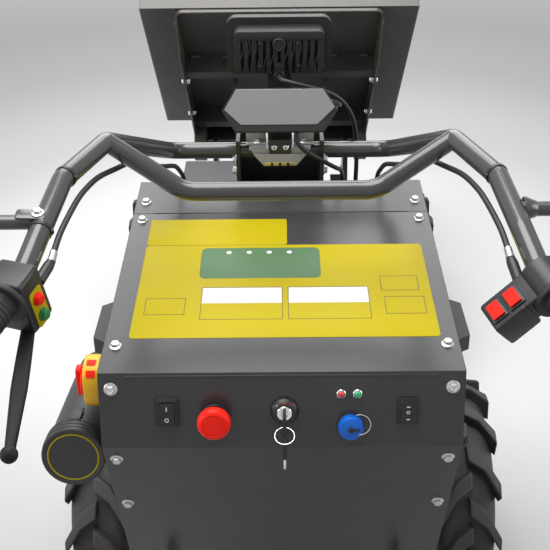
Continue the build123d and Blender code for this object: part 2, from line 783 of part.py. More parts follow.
def make_handlebar_post():
    y0 = CONSOLE_FRONT_Y
    y1 = y0 + POST_DEPTH
    tube_y = beyond(FRONT_TUBE_BEYOND)
    top = FRONT_TUBE_Z + POST_ABOVE_TUBE
    back = tube_y - POST_ABOVE_TUBE
    shelf = top_point(TOP_LEN + FRONT_PLATE_LEN)[1] + SEAM_GAP
    side = prism([(y0, POST_FOOT_Z), (y1, POST_FOOT_Z), (y1, top), (back, top), (back, shelf), (y0, shelf)],
                 POST_HALF_W - POST_T, POST_HALF_W)
    web = block(-POST_HALF_W, POST_HALF_W, y1 - POST_T, y1, POST_FOOT_Z, top)
    post = side + mirrored(side) + web
    return post - bar_x(TUBE_R + RUN_FIT, -CONSOLE_W, CONSOLE_W, tube_y, FRONT_TUBE_Z)


# Display and floodlight

def display_place():
    tilt = math.radians(DISPLAY_TILT)
    return Plane(origin=(0, beyond(DISPLAY_BEYOND), DISPLAY_Z), x_dir=(1, 0, 0),
                 z_dir=(0, -math.cos(tilt), math.sin(tilt)))


def hexagon(width, height, tip):
    half = width / 2
    rise = height / 2
    return make_face(Polyline((-half, 0), (-half + tip, -rise), (half - tip, -rise), (half, 0),
                              (half - tip, rise), (-half + tip, rise), close=True))


def make_display():
    shell = extrude(hexagon(DISPLAY_W, DISPLAY_H, HEX_TIP), amount=-DISPLAY_T)
    shell = chamfer(shell.faces().sort_by(Axis.Z)[0].edges(), DISPLAY_CHAMFER)
    return display_place() * shell


def make_display_screen():
    face = hexagon(DISPLAY_W - 2 * SCREEN_EDGE, DISPLAY_H - 2 * SCREEN_EDGE, HEX_TIP)
    return display_place() * extrude(face, amount=SCREEN_T)


def make_display_saddle():
    """Plated sheet over the front tube, with a tapered lip bent down towards the operator."""
    tube_y = beyond(FRONT_TUBE_BEYOND)
    z = FRONT_TUBE_Z + TUBE_R + SEAT_FIT
    y0 = tube_y - SADDLE_L / 2
    plate = block(-SADDLE_HALF_W, SADDLE_HALF_W, y0, y0 + SADDLE_L, z, z + SADDLE_T)
    top, low = z + SADDLE_T, z - SADDLE_LIP
    lip = Plane.XZ * Polyline((-SADDLE_HALF_W, top), (SADDLE_HALF_W, top), (SADDLE_LIP_HALF_W, low),
                              (-SADDLE_LIP_HALF_W, low), close=True)
    return plate + Pos(0, y0 + SADDLE_T, 0) * extrude(make_face(lip), amount=SADDLE_T, dir=(0, -1, 0))


def make_display_bracket(display):
    tube_y = beyond(FRONT_TUBE_BEYOND)
    seat = FRONT_TUBE_Z + TUBE_R + SEAT_FIT + SADDLE_T
    back = display_place() * Pos(0, -DISPLAY_H / 4, -DISPLAY_T)
    y, z = back.position.Y, back.position.Z
    half = STRAP_W / 2
    top = seat + STRAP_T
    strap = prism([(tube_y - half, seat), (tube_y + half, seat), (tube_y + half, top), (y + half, z), (y, z),
                   (tube_y - half, top)], -half, half)
    return strap - display


def make_floodlight():
    """Lamp body with a front rim, a finned back, a boss and a cable gland."""
    back = Plane(origin=(0, beyond(LIGHT_BEYOND) - LIGHT_T / 2, LIGHT_Z), x_dir=(1, 0, 0), z_dir=(0, -1, 0))
    rim = Pos(0, 0, -LIGHT_T) * extrude(RectangleRounded(LIGHT_W, LIGHT_H, LIGHT_CORNER), amount=LIGHT_RIM_T)
    width, height = LIGHT_W - 2 * LIGHT_EDGE, LIGHT_H - 2 * LIGHT_EDGE
    outline = RectangleRounded(width, height, LIGHT_CORNER - LIGHT_EDGE / 2)
    body = Pos(0, 0, -LIGHT_T) * extrude(outline, amount=LIGHT_T)
    pitch = (width - LIGHT_CORNER) / (FIN_COUNT - 1)
    for i in range(FIN_COUNT - 1):
        x = (i - (FIN_COUNT - 2) / 2) * pitch
        slot = Box(FIN_GAP, height, FIN_DEPTH, align=(Align.CENTER, Align.MAX, Align.MAX))
        body -= Pos(x, height / 2 - FIN_TOP, 0) * slot
    grow = (Align.CENTER, Align.CENTER, Align.MAX)
    body += Pos(0, LIGHT_BOSS_ABOVE, 0) * Cylinder(LIGHT_BOSS_R, LIGHT_T, align=grow)
    gland_y = GLAND_UP - height / 2
    body += Pos(0, gland_y, GLAND_L) * Cylinder(GLAND_R, LIGHT_T, align=grow)
    return back * (rim + body)


def make_floodlight_lens():
    face = RectangleRounded(LIGHT_W - 2 * LENS_EDGE, LIGHT_H - 2 * LENS_EDGE, LIGHT_CORNER)
    place = Plane(origin=(0, beyond(LIGHT_BEYOND) + LIGHT_T / 2, LIGHT_Z), x_dir=(1, 0, 0), z_dir=(0, -1, 0))
    return place * extrude(face, amount=-LENS_T)


def make_light_bracket(floodlight):
    web_y = beyond(POST_DEPTH)
    foot = LIGHT_Z - LIGHT_H / 2 + LIGHT_EDGE
    y = beyond(LIGHT_BEYOND)
    half = STRAP_W / 2
    top = LIGHT_Z - LIGHT_H / 2
    strap = block(-half, half, web_y, web_y + FOOT_T, FRONT_TUBE_Z - STRAP_W, foot)
    rest = block(-half, half, web_y, y + LIGHT_T / 2, top - FOOT_T, top)
    return strap + rest - floodlight


# Leads

def lead(points):
    """Round lead along hand-chosen points, each bend as large as its two runs allow."""
    radii = []
    for a, b, c in zip(points, points[1:], points[2:]):
        run_in = Vector(*b) - Vector(*a)
        run_out = Vector(*c) - Vector(*b)
        turn = math.radians(run_in.get_angle(run_out))
        radii.append(LEAD_EASE * min(run_in.length, run_out.length) / math.tan(turn / 2))
    path = FilletPolyline(*points, radius=radii)
    return sweep(Plane(origin=path @ 0, z_dir=path % 0) * Circle(LEAD_R), path=path)


def from_front(points):
    return [(x, beyond(y), z) for x, y, z in points]


def make_arm_leads():
    apex, corner = Vector(*at(APEX)), Vector(*arm_points(1)[0])
    slope = []
    for share, below in ARM_LEAD_SLOPE:
        slope.append(tuple(apex + (corner - apex) * share - Vector(ARM_LEAD_IN, 0, below)))
    right = lead([at(point) for point in ARM_LEAD_REAR] + slope + from_front(ARM_LEAD_FRONT))
    return Compound([right, mirrored(right)])


# Tub, modelled level and then tipped about its pivot

def tipped(part):
    return Pos(0, PIVOT_Y, PIVOT_Z) * Rot(-TIP, 0, 0) * Pos(0, -PIVOT_Y, -PIVOT_Z) * part


def tub_line():
    slope = math.radians(CHUTE_ANGLE)
    lip = (PIVOT_Y + TUB_DEPTH / math.tan(slope), FLOOR_Z + TUB_DEPTH)
    return [(TUB_REAR_Y, FLOOR_Z + TUB_DEPTH), (TUB_REAR_Y, FLOOR_Z), (PIVOT_Y, FLOOR_Z), lip]


def tub_panel(index):
    """One panel of the bent pan, cut off square with its neighbours at the bends."""
    line = tub_line()
    inner = offset_points(line, TUB_WALL)
    half = TUB_W / 2 - TUB_WALL
    return prism([line[index], line[index + 1], inner[index + 1], inner[index]], -half, half)


def make_tub_sides():
    half = TUB_W / 2
    line = tub_line()
    side = prism(line, half - TUB_WALL, half)
    top = FLOOR_Z + TUB_DEPTH
    side += block(half, half + RIM_FOLD, TUB_REAR_Y, line[3][0], top - TUB_WALL, top)
    return tipped(Compound([side, mirrored(side)]))


def make_skirt():
    """Strip bent to a U under the floor, shallow at its rear, with a thick boss at each hinge."""
    low = FLOOR_Z - SKIRT_H
    rear = TUB_REAR_Y + SKIRT_INSET
    front = PIVOT_Y + EAR_R
    strip = Rectangle(2 * SKIRT_X, front - rear, align=(Align.CENTER, Align.MIN))
    strip = fillet(strip.vertices().group_by(Axis.Y)[0], SKIRT_CORNER)
    hollow = Rectangle(2 * (SKIRT_X - SKIRT_T), front - rear, align=(Align.CENTER, Align.MIN))
    hollow = fillet(hollow.vertices().group_by(Axis.Y)[0], SKIRT_CORNER - SKIRT_T)
    skirt = Pos(0, rear, low) * extrude(strip - Pos(0, SKIRT_T, 0) * hollow, amount=SKIRT_H)
    slope = [(rear, low), (rear + SKIRT_SLOPE_L, low), (rear, FLOOR_Z - SKIRT_REAR_H)]
    skirt -= prism(slope, -SKIRT_X, SKIRT_X)
    inner = SKIRT_X - SKIRT_T
    boss = prism([(PIVOT_Y - EAR_R, FLOOR_Z), (PIVOT_Y + EAR_R, FLOOR_Z), (PIVOT_Y + EAR_R, PIVOT_Z),
                  (PIVOT_Y - EAR_R, PIVOT_Z)], inner - BOSS_W, SKIRT_X)
    boss += bar_x(EAR_R, inner - BOSS_W, SKIRT_X, PIVOT_Y, PIVOT_Z)
    skirt += boss + mirrored(boss)
    return tipped(skirt - bar_x(PIVOT_PIN_R + RUN_FIT, -TUB_W, TUB_W, PIVOT_Y, PIVOT_Z))


def make_sub_cross():
    inner = SKIRT_X - SKIRT_T
    low = FLOOR_Z - SUB_CROSS_H
    members = []
    for y in (PIVOT_Y - EYE_BEHIND_PIVOT - SUB_MIDDLE_BEHIND_EYE, PIVOT_Y - EAR_R - SUB_CROSS_W):
        members.append(block(-inner, inner, y - SUB_CROSS_W / 2, y + SUB_CROSS_W / 2, low, FLOOR_Z))
    return tipped(Compound(members))


def make_clevis():
    eye_y = PIVOT_Y - EYE_BEHIND_PIVOT
    eye_z = PIVOT_Z + EYE_ABOVE_PIVOT
    plates = bar_x(CYL_PIN_R, -CLEVIS_X - CLEVIS_T, CLEVIS_X + CLEVIS_T + EYE_W, eye_y, eye_z)
    for way in (-1, 1):
        x0, x1 = sorted((way * CLEVIS_X, way * (CLEVIS_X + CLEVIS_T)))
        plates += prism([(eye_y - EAR_R, FLOOR_Z), (eye_y + EAR_R, FLOOR_Z), (eye_y + CLEVIS_R, eye_z),
                         (eye_y - CLEVIS_R, eye_z)], x0, x1)
        plates += bar_x(CLEVIS_R, x0, x1, eye_y, eye_z)
    return tipped(plates)


# Tipping cylinder

def eye_point():
    tip = math.radians(TIP)
    y, z = -EYE_BEHIND_PIVOT, EYE_ABOVE_PIVOT
    turned_y = y * math.cos(tip) + z * math.sin(tip)
    turned_z = z * math.cos(tip) - y * math.sin(tip)
    return (0, PIVOT_Y + turned_y, PIVOT_Z + turned_z)


def cylinder_line():
    anchor = Vector(0, beyond(ANCHOR_BEYOND), ANCHOR_Z)
    eye = Vector(*eye_point())
    return anchor, eye, (eye - anchor).normalized()


def make_barrel():
    anchor, eye, run = cylinder_line()
    body = bar_between(anchor + run * (BARREL_FOOT_R / 2), anchor + run * BARREL_L, BARREL_R)
    foot = bar_x(BARREL_FOOT_R, -BARREL_FOOT_W / 2, BARREL_FOOT_W / 2, anchor.Y, anchor.Z)
    bore = bar_between(anchor + run * 2 * BARREL_R, anchor + run * (BARREL_L + BARREL_R), ROD_R + RUN_FIT)
    pin = bar_x(CYL_PIN_R + RUN_FIT, -2 * BARREL_R, 2 * BARREL_R, anchor.Y, anchor.Z)
    return body + foot - bore - pin


def make_rod():
    anchor, eye, run = cylinder_line()
    hole = CYL_PIN_R + EYE_DRIFT
    stem = bar_between(anchor + run * (BARREL_L - ROD_TAIL), eye - run * (hole + EYE_WALL / 2), ROD_R)
    ring = bar_x(hole + EYE_WALL, -EYE_W / 2, EYE_W / 2, eye.Y, eye.Z)
    return stem + ring - bar_x(hole, -EYE_W, EYE_W, eye.Y, eye.Z)


def build_parts():
    handlebar = make_handlebar()
    display = make_display()
    floodlight = make_floodlight()
    pods = make_control_pods(handlebar)
    parts = {
        "chassis_rails": make_chassis_rails(),
        "chassis_cross_members": make_cross_members(),
        "deck_plate": make_deck(),
        "battery_box": make_battery_box(),
        "hydraulic_unit": make_hydraulic_unit(),
        "rear_axle": make_axle(REAR_AXLE_Y, -1),
        "front_axle": make_axle(FRONT_AXLE_Y, 1),
        "axle_pedestals": make_pedestals(),
        "drive_motors": make_motors(),
        "console_cover": make_console_cover(),
        "console_front_plate": make_console_front(),
        "console_sides": make_console_sides(),
        "emergency_stop_collar": make_estop_collar(),
        "emergency_stop_head": make_estop_head(),
        "panel_rockers": make_rockers(),
        "key_switch": make_key_switch(),
        "ignition_key": make_key(),
        "charge_cap": make_charge_cap(),
        "indicator_lamps": make_lamps(),
        "isolator_body": make_isolator(),
        "isolator_knob": make_isolator_knob(),
        "document_tube": make_document_tube(),
        "handlebar_tube": handlebar,
        "handlebar_cross_tube": make_handlebar_cross(handlebar),
        "hand_guards": make_hand_guards(handlebar),
        "handlebar_post": make_handlebar_post(),
        "grips": make_grips(),
        "control_pods": pods,
        "pod_button_red": make_pod_button(RED_BUTTON_DOWN),
        "pod_button_green": make_pod_button(GREEN_BUTTON_DOWN),
        "pod_rockers": make_pod_rockers(),
        "brake_lever": make_brake_lever(pods),
        "display_housing": display,
        "display_screen": make_display_screen(),
        "display_saddle": make_display_saddle(),
        "display_bracket": make_display_bracket(display),
        "floodlight_housing": floodlight,
        "floodlight_lens": make_floodlight_lens(),
        "floodlight_bracket": make_light_bracket(floodlight),
        "floodlight_lead": lead(from_front(LIGHT_LEAD)),
        "display_lead": lead(from_front(DISPLAY_LEAD)),
        "handlebar_leads": make_arm_leads(),
        "tub_rear_wall": tipped(tub_panel(0)),
        "tub_floor": tipped(tub_panel(1)),
        "tub_chute": tipped(tub_panel(2)),
        "tub_sides": make_tub_sides(),
        "subframe_rails": make_skirt(),
        "subframe_cross_members": make_sub_cross(),
        "cylinder_clevis": make_clevis(),
        "cylinder_barrel": make_barrel(),
        "cylinder_rod": make_rod(),
    }
    for end, axle_y in (("front", FRONT_AXLE_Y), ("rear", REAR_AXLE_Y)):
        for name, way in (("left", -1), ("right", 1)):
            parts[f"tyre_{end}_{name}"] = make_tyre(way, axle_y)
            parts[f"rim_{end}_{name}"] = make_rim(way, axle_y)
    return parts


def main():
    os.makedirs("parts", exist_ok=True)
    for name, part in build_parts().items():
        export_step(part, f"parts/{name}.step")


main()
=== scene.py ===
"""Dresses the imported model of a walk-behind tipping dumper: stage, finishes, leads and fittings."""
import json
import math
from contextlib import contextmanager

import bmesh
import bpy
from bpy.props import FloatProperty, FloatVectorProperty, PointerProperty
from mathutils import Matrix, Vector


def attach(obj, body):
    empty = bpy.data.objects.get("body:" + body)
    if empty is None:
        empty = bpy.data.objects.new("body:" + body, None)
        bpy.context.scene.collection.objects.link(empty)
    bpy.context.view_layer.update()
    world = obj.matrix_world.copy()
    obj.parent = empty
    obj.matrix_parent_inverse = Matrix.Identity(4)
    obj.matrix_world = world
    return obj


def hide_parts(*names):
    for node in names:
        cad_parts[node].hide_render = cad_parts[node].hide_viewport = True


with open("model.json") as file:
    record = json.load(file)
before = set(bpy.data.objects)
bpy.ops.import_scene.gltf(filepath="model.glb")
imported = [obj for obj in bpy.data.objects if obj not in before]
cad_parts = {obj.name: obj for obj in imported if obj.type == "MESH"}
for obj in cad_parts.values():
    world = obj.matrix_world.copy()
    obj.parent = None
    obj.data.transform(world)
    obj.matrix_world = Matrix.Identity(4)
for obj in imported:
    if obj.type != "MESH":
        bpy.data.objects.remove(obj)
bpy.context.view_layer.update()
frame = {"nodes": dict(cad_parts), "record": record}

bl_info = {
    "name": "Tipping Dumper Dressing",
    "version": (1, 0, 0),
    "blender": (4, 5, 0),
    "location": "View3D > Sidebar > Dumper",
    "description": "Stage, finishes, leads and fittings for a walk-behind tipping dumper",
    "category": "Object",
}

MM = 0.001
FINISH = "dumper_"  # keeps the finishes apart from the model's own materials of the same names
IMAGE_PX = 550
SENSOR_MM = 36.0

# Places and sizes of the model that the fittings sit on, in mm and degrees.
CONSOLE_FRONT_Y = -371.1
CONSOLE_EDGE_Z = 800.0
TOP_RISE = math.radians(3.7)
FACE_LEAN = math.radians(13.4)
UNDERCUT = math.radians(20.0)
PANEL_RUN = 470.0
FACE_LEN = 97.0
CONSOLE_REAR_Y = CONSOLE_FRONT_Y - PANEL_RUN * math.cos(TOP_RISE)
PIVOT = Vector((0.0, CONSOLE_FRONT_Y + 951.0, 482.0))
TUB_TIP = math.radians(46.6)
APEX = Vector((219.0, 214.0, 1005.0))
ARM_HIGH = Vector((255.0, 107.0, 1002.0))
ARM_MID = Vector((265.0, 12.0, 982.0))
GRIP_START = Vector((275.0, -55.0, 960.0))
GRIP_WAY = Vector((0.35, -0.9, -0.25))
POD_START = -10.0
POD_LEN = 38.0
TUBE_R = 12.5
FRONT_TUBE = Vector((0.0, CONSOLE_FRONT_Y - 14.0, 889.0))
DISPLAY_AT = Vector((0.0, CONSOLE_FRONT_Y - 44.0, 964.0))
DISPLAY_TILT = math.radians(25.0)
LIGHT_BACK = Vector((0.0, CONSOLE_FRONT_Y + 43.0, 1023.0))
LIGHT_DEPTH = 50.0
WHEEL_R = 207.0
BOLT_FLANGE_R = 8.2

# Routes of the two free leads, as in the model: X, distance beyond the console's front plate, height.
LIGHT_LEAD = [(0, 33.8, 989), (0, 23, 988), (20, 13, 985), (54, 11, 977), (90, 17, 962), (112, 26, 930),
              (120, 32, 888), (121, 33, 844), (120, 31, 808), (118, 21, 784), (117, 9, 777), (117, 0.2, 777)]
DISPLAY_LEAD = [(24, -49.5, 930.9), (24, -54.7, 920), (33, -56, 908), (49, -54, 896), (66, -49, 884),
                (84, -31, 866), (95, -5, 851), (99, 20, 828), (99, 25, 800), (98, 19, 780), (98, 9, 773),
                (98, 0.2, 773)]
LEADS = (("floodlight_cord", LIGHT_LEAD, 0.314), ("display_cord", DISPLAY_LEAD, 0.232))
LEAD_DIAMETER = 0.007

# The studio floor: its size in metres, its greys by distance in metres from a middle under the machine,
# which paint a pool of light that is brightest under the machine and darkens outwards to about 3 m,
# and the distances between which it starts to glow like the background, with the strength it reaches.
FLOOR_SIZE = 30.0
FLOOR_MIDDLE = (0.0, 0.75, 0.0)
FLOOR_GREYS = ((0.0, 0.70), (6.0, 0.50), (0.6, 0.69), (1.3, 0.48), (2.1, 0.38), (3.2, 0.38))
FLOOR_GLOW = {"From Min": 2.7, "From Max": 5.5, "To Max": 0.5}
SKY_TINT = (0.98, 0.985, 1.0, 1.0)


class DumperFinishes(bpy.types.PropertyGroup):
    """Colours of the machine's finishes."""

    body: FloatVectorProperty(
        name="Body paint", description="Anthracite powder coat of the console and the handlebar",
        subtype="COLOR", size=3, min=0.0, max=1.0, default=(0.046, 0.046, 0.047))
    # The tub's warm tint is a painted reflection of light from the floor on its underside; its dust is real.
    tub: FloatVectorProperty(
        name="Tub paint", description="Warmer, dustier coat of the tub", subtype="COLOR",
        size=3, min=0.0, max=1.0, default=(0.058, 0.051, 0.044))
    black: FloatVectorProperty(
        name="Black paint", description="Paint of the chassis and the post", subtype="COLOR",
        size=3, min=0.0, max=1.0, default=(0.012, 0.012, 0.0125))
    tyre: FloatVectorProperty(
        name="Tyre rubber", description="Rubber of the lugged tyres", subtype="COLOR",
        size=3, min=0.0, max=1.0, default=(0.041, 0.040, 0.038))
    plastic: FloatVectorProperty(
        name="Black plastic", description="Moulded switch and control housings", subtype="COLOR",
        size=3, min=0.0, max=1.0, default=(0.011, 0.011, 0.0115))
    red: FloatVectorProperty(
        name="Signal red", description="Stop button, rockers and isolator knob", subtype="COLOR",
        size=3, min=0.0, max=1.0, default=(0.92, 0.020, 0.010))
    green: FloatVectorProperty(
        name="Signal green", description="Start button", subtype="COLOR",
        size=3, min=0.0, max=1.0, default=(0.012, 0.22, 0.065))
    blue: FloatVectorProperty(
        name="Socket blue", description="Cap of the charging socket", subtype="COLOR",
        size=3, min=0.0, max=1.0, default=(0.003, 0.115, 0.56))
    yellow: FloatVectorProperty(
        name="Isolator yellow", description="Battery isolator", subtype="COLOR",
        size=3, min=0.0, max=1.0, default=(0.85, 0.47, 0.006))
    label: FloatVectorProperty(
        name="Label film", description="Yellow of the console's film and the button plate",
        subtype="COLOR", size=3, min=0.0, max=1.0, default=(0.42, 0.335, 0.005))
    steel: FloatVectorProperty(
        name="Zinc", description="Plated bolts and brackets", subtype="COLOR",
        size=3, min=0.0, max=1.0, default=(0.62, 0.62, 0.60))


class DumperSizes(bpy.types.PropertyGroup):
    """Sizes of the fittings that this script adds."""

    bolt_flange: FloatProperty(
        name="Bolt flange", description="Radius of a panel bolt's flange", unit="LENGTH", default=0.0082)
    lug_round: FloatProperty(
        name="Lug rounding", description="Width of the bevel on the tyre lugs", unit="LENGTH", default=0.0035)
    label_lift: FloatProperty(
        name="Label thickness", description="Thickness of the console label's film", unit="LENGTH",
        default=0.0004)
    grip_rib: FloatProperty(
        name="Grip rib", description="Spacing of the ribs on the rubber grips", unit="LENGTH", default=0.006)


class DumperStage(bpy.types.PropertyGroup):
    """Camera and light."""

    camera_at: FloatVectorProperty(
        name="Camera", description="Where the camera stands", subtype="TRANSLATION", unit="LENGTH",
        size=3, default=(0.0015, -1.8149, 1.4984))
    pitch: FloatProperty(
        name="Pitch", description="How far the camera looks down", subtype="ANGLE",
        default=math.radians(30.136))
    yaw: FloatProperty(
        name="Yaw", description="How far the camera turns to the left", subtype="ANGLE",
        default=math.radians(0.459))
    roll: FloatProperty(
        name="Roll", description="How far the camera's right side dips", subtype="ANGLE",
        default=math.radians(0.702))
    focal_px: FloatProperty(
        name="Focal length", description="Focal length in pixels of the square image", default=1012.2)
    key_power: FloatProperty(
        name="Key light", description="Power of the large overhead light in watts", default=125.0, min=0.0)
    far_power: FloatProperty(
        name="Far light", description="Power of the light ahead that the top panel mirrors in watts",
        default=105.0, min=0.0)
    fill_power: FloatProperty(
        name="Fill light", description="Power of the side lights in watts", default=46.0, min=0.0)
    ambient: FloatProperty(
        name="Ambient", description="Strength of the even light from all around", default=0.34, min=0.0)
    backdrop: FloatProperty(
        name="Backdrop", description="Brightness of the background where it is seen or mirrored",
        default=0.62, min=0.0)


# Places on the machine, given in mm

def frame_at(point, normal, right=(1.0, 0.0, 0.0)):
    """Matrix of a place in mm whose Z is the surface normal and whose X points to the operator's right."""
    z = Vector(normal).normalized()
    x = Vector(right)
    x = x - z * x.dot(z)
    if x.length < 1e-4:
        x = Vector((0.0, 1.0, 0.0))
    x.normalize()
    turn = Matrix((x, z.cross(x), z)).transposed().to_4x4()
    return Matrix.Translation(Vector(point) * MM) @ turn


def shifted(place, x=0.0, y=0.0, z=0.0):
    return place @ Matrix.Translation(Vector((x, y, z)) * MM)


def turned_to(place, degrees, axis="Z"):
    return place @ Matrix.Rotation(math.radians(degrees), 4, axis)


def on_top(x, distance, lift=0.0):
    """Place on the console's top panel, counted forward from its rear edge."""
    point = (x, CONSOLE_REAR_Y + distance * math.cos(TOP_RISE),
             CONSOLE_EDGE_Z + distance * math.sin(TOP_RISE))
    return shifted(frame_at(point, (0.0, -math.sin(TOP_RISE), math.cos(TOP_RISE))), z=lift)


def on_face(x, drop, lift=0.0):
    """Place on the control face, counted down from the console's rear edge."""
    point = (x, CONSOLE_REAR_Y - drop * math.sin(FACE_LEAN), CONSOLE_EDGE_Z - drop * math.cos(FACE_LEAN))
    return shifted(frame_at(point, (0.0, -math.cos(FACE_LEAN), math.sin(FACE_LEAN))), z=lift)


def on_lower(x, drop):
    """Place on the undercut panel, counted down from the fold under the control face."""
    fold = on_face(x, FACE_LEN).translation / MM
    point = fold + Vector((0.0, math.sin(UNDERCUT), -math.cos(UNDERCUT))) * drop
    return frame_at(point, (0.0, -math.cos(UNDERCUT), -math.sin(UNDERCUT)))


def on_arm(way, start, end, share):
    """Place on a straight of the handlebar, with Z along it towards the operator."""
    a, b = (Vector((way * p.x, CONSOLE_REAR_Y + p.y, p.z)) for p in (start, end))
    return frame_at(a.lerp(b, share), b - a)


def on_grip(way, distance):
    """Place on a grip's axis: Z back along it, X to the right, Y up."""
    run = Vector((way * GRIP_WAY.x, GRIP_WAY.y, GRIP_WAY.z)).normalized()
    start = Vector((way * GRIP_START.x, CONSOLE_REAR_Y + GRIP_START.y, GRIP_START.z))
    return frame_at(start + run * distance, run, Vector((0.0, 0.0, 1.0)).cross(run))


def on_display(x, y, lift=0.0):
    """Place on the display's front, with Y up the screen."""
    normal = (0.0, -math.cos(DISPLAY_TILT), math.sin(DISPLAY_TILT))
    return shifted(frame_at(DISPLAY_AT, normal), x, y, lift)


def on_light(x, y, lift=0.0):
    """Place on the floodlight's finned back, with Y up."""
    return shifted(frame_at(LIGHT_BACK, (0.0, -1.0, 0.0)), x, y, lift)


def on_tub(x, behind, above, normal):
    """Place on the tipped tub, given as on the level tub: behind and above the hinge."""
    tip = Matrix.Translation(PIVOT * MM) @ Matrix.Rotation(-TUB_TIP, 4, "X")
    return tip @ frame_at((x, -behind, above), normal)


def wheels():
    """Name, side and axle place in metres of each wheel."""
    for joint in frame["record"]["behaviour"]["joints"]:
        if joint["name"].startswith("wheel_"):
            wheel = joint["child"]
            yield wheel, 1 if wheel.endswith("right") else -1, Vector(joint["pos_m"])


# Modelling helpers

def clear_selection():
    if bpy.context.object is not None and bpy.context.object.mode != "OBJECT":
        bpy.ops.object.mode_set(mode="OBJECT")
    bpy.ops.object.select_all(action="DESELECT")


def only(*pieces):
    clear_selection()
    for piece in pieces:
        piece.select_set(True)
    bpy.context.view_layer.objects.active = pieces[0]
    return pieces[0]


@contextmanager
def editing(piece):
    """Edit mode on one piece, in face select mode."""
    only(piece)
    bpy.ops.object.mode_set(mode="EDIT")
    bpy.ops.mesh.select_mode(type="FACE")
    yield piece
    bpy.ops.object.mode_set(mode="OBJECT")


def choose_faces(piece, test):
    """Selects the faces whose centre and normal pass the test."""
    bpy.ops.mesh.select_mode(type="FACE")
    bpy.ops.mesh.select_all(action="DESELECT")
    shape = bmesh.from_edit_mesh(piece.data)
    for face in shape.faces:
        face.select_set(test(face.calc_center_median(), face.normal))
    bmesh.update_edit_mesh(piece.data)


def choose_edges(piece, test):
    """Selects the edges whose middle and run pass the test."""
    bpy.ops.mesh.select_mode(type="EDGE")
    bpy.ops.mesh.select_all(action="DESELECT")
    shape = bmesh.from_edit_mesh(piece.data)
    for edge in shape.edges:
        a, b = edge.verts[0].co, edge.verts[1].co
        edge.select_set(test((a + b) / 2, (b - a).normalized()))
    bmesh.update_edit_mesh(piece.data)


def move_points(piece, shift):
    """Moves every point of the piece being edited to where the rule puts it."""
    shape = bmesh.from_edit_mesh(piece.data)
    shape.verts.ensure_lookup_table()
    for index, vert in enumerate(shape.verts):
        vert.co = shift(index, vert.co)
    bmesh.update_edit_mesh(piece.data)


def round_edges(piece, width, segments=2, angle=35.0):
    only(piece)
    bevel = piece.modifiers.new("round", "BEVEL")
    bevel.width = width * MM
    bevel.segments = segments
    bevel.limit_method = "ANGLE"
    bevel.angle_limit = math.radians(angle)
    bpy.ops.object.modifier_apply(modifier=bevel.name)
    return piece


def settle(piece, place, smooth=35.0):
    """Moves a piece to its place, keeps the place in its mesh and turns its faces outwards."""
    only(piece)
    piece.matrix_world = place
    bpy.ops.object.transform_apply(location=True, rotation=True, scale=True)
    with editing(piece):
        bpy.ops.mesh.select_all(action="SELECT")
        bpy.ops.mesh.normals_make_consistent(inside=False)
    only(piece)
    bpy.ops.object.shade_smooth_by_angle(angle=math.radians(smooth))
    return piece


def joined(pieces):
    only(*pieces)
    if len(pieces) > 1:
        bpy.ops.object.join()
    return bpy.context.active_object


def copies(pattern, places):
    """Copies of a modelled pattern at the places, joined as one piece; the pattern itself is removed."""
    made = []
    for place in places:
        only(pattern)
        bpy.ops.object.duplicate(linked=False)
        copy = bpy.context.active_object
        copy.matrix_world = place
        bpy.ops.object.transform_apply(location=True, rotation=True, scale=True)
        made.append(copy)
    bpy.data.objects.remove(pattern)
    return joined(made)


def turned(outline, place=Matrix(), steps=36, sweep=360.0):
    """Shape spun about the place's Z from (radius, height) points in mm."""
    clear_selection()
    bpy.ops.mesh.primitive_circle_add(vertices=len(outline), radius=1.0, fill_type="NOTHING")
    piece = bpy.context.active_object
    with editing(piece):
        move_points(piece, lambda index, point: Vector((outline[index][0], 0.0, outline[index][1])) * MM)
        bpy.ops.mesh.select_mode(type="VERT")
        bpy.ops.mesh.select_all(action="SELECT")
        bpy.ops.mesh.spin(steps=steps, angle=math.radians(sweep), center=(0, 0, 0), axis=(0, 0, 1))
        bpy.ops.mesh.select_all(action="SELECT")
        bpy.ops.mesh.remove_doubles(threshold=1e-6)
        bpy.ops.mesh.dissolve_degenerate(threshold=1e-6)
        bpy.ops.mesh.delete_loose(use_verts=True, use_edges=True, use_faces=False)
        if sweep < 360.0:
            bpy.ops.mesh.select_all(action="SELECT")
            bpy.ops.mesh.fill_holes(sides=0)
    return settle(piece, place)


def ring(inner, outer, low, high, place, steps):
    """Square-edged ring about the place's Z, between two radii and two heights in mm."""
    return turned([(inner, low), (outer, low), (outer, high), (inner, high)], place, steps)


def hoop(radius, thickness, place, steps, sweep=360.0, corners=10):
    """Round wire bent to an arc about the place's Z."""
    section = []
    for i in range(corners):
        turn = 2 * math.pi * i / corners
        section.append((radius + thickness / 2 * math.cos(turn), thickness / 2 * math.sin(turn)))
    return turned(section, place, steps, sweep)


def slab(width, length, depth, place=Matrix(), edge=0.0, corner=0.0, segments=2):
    """Block on the place's plane: corner rounds its upright edges, edge rounds what is left sharp."""
    clear_selection()
    bpy.ops.mesh.primitive_cube_add(size=1.0, location=(0, 0, depth / 2 * MM),
                                    scale=(width * MM, length * MM, depth * MM))
    piece = bpy.context.active_object
    bpy.ops.object.transform_apply(location=True, rotation=True, scale=True)
    if corner > 0.0:
        with editing(piece):
            choose_edges(piece, lambda middle, run: abs(run.z) > 0.9)
            bpy.ops.mesh.bevel(offset=corner * MM, segments=5, affect="EDGES")
    if edge > 0.0:
        round_edges(piece, edge, segments)
    return settle(piece, place)


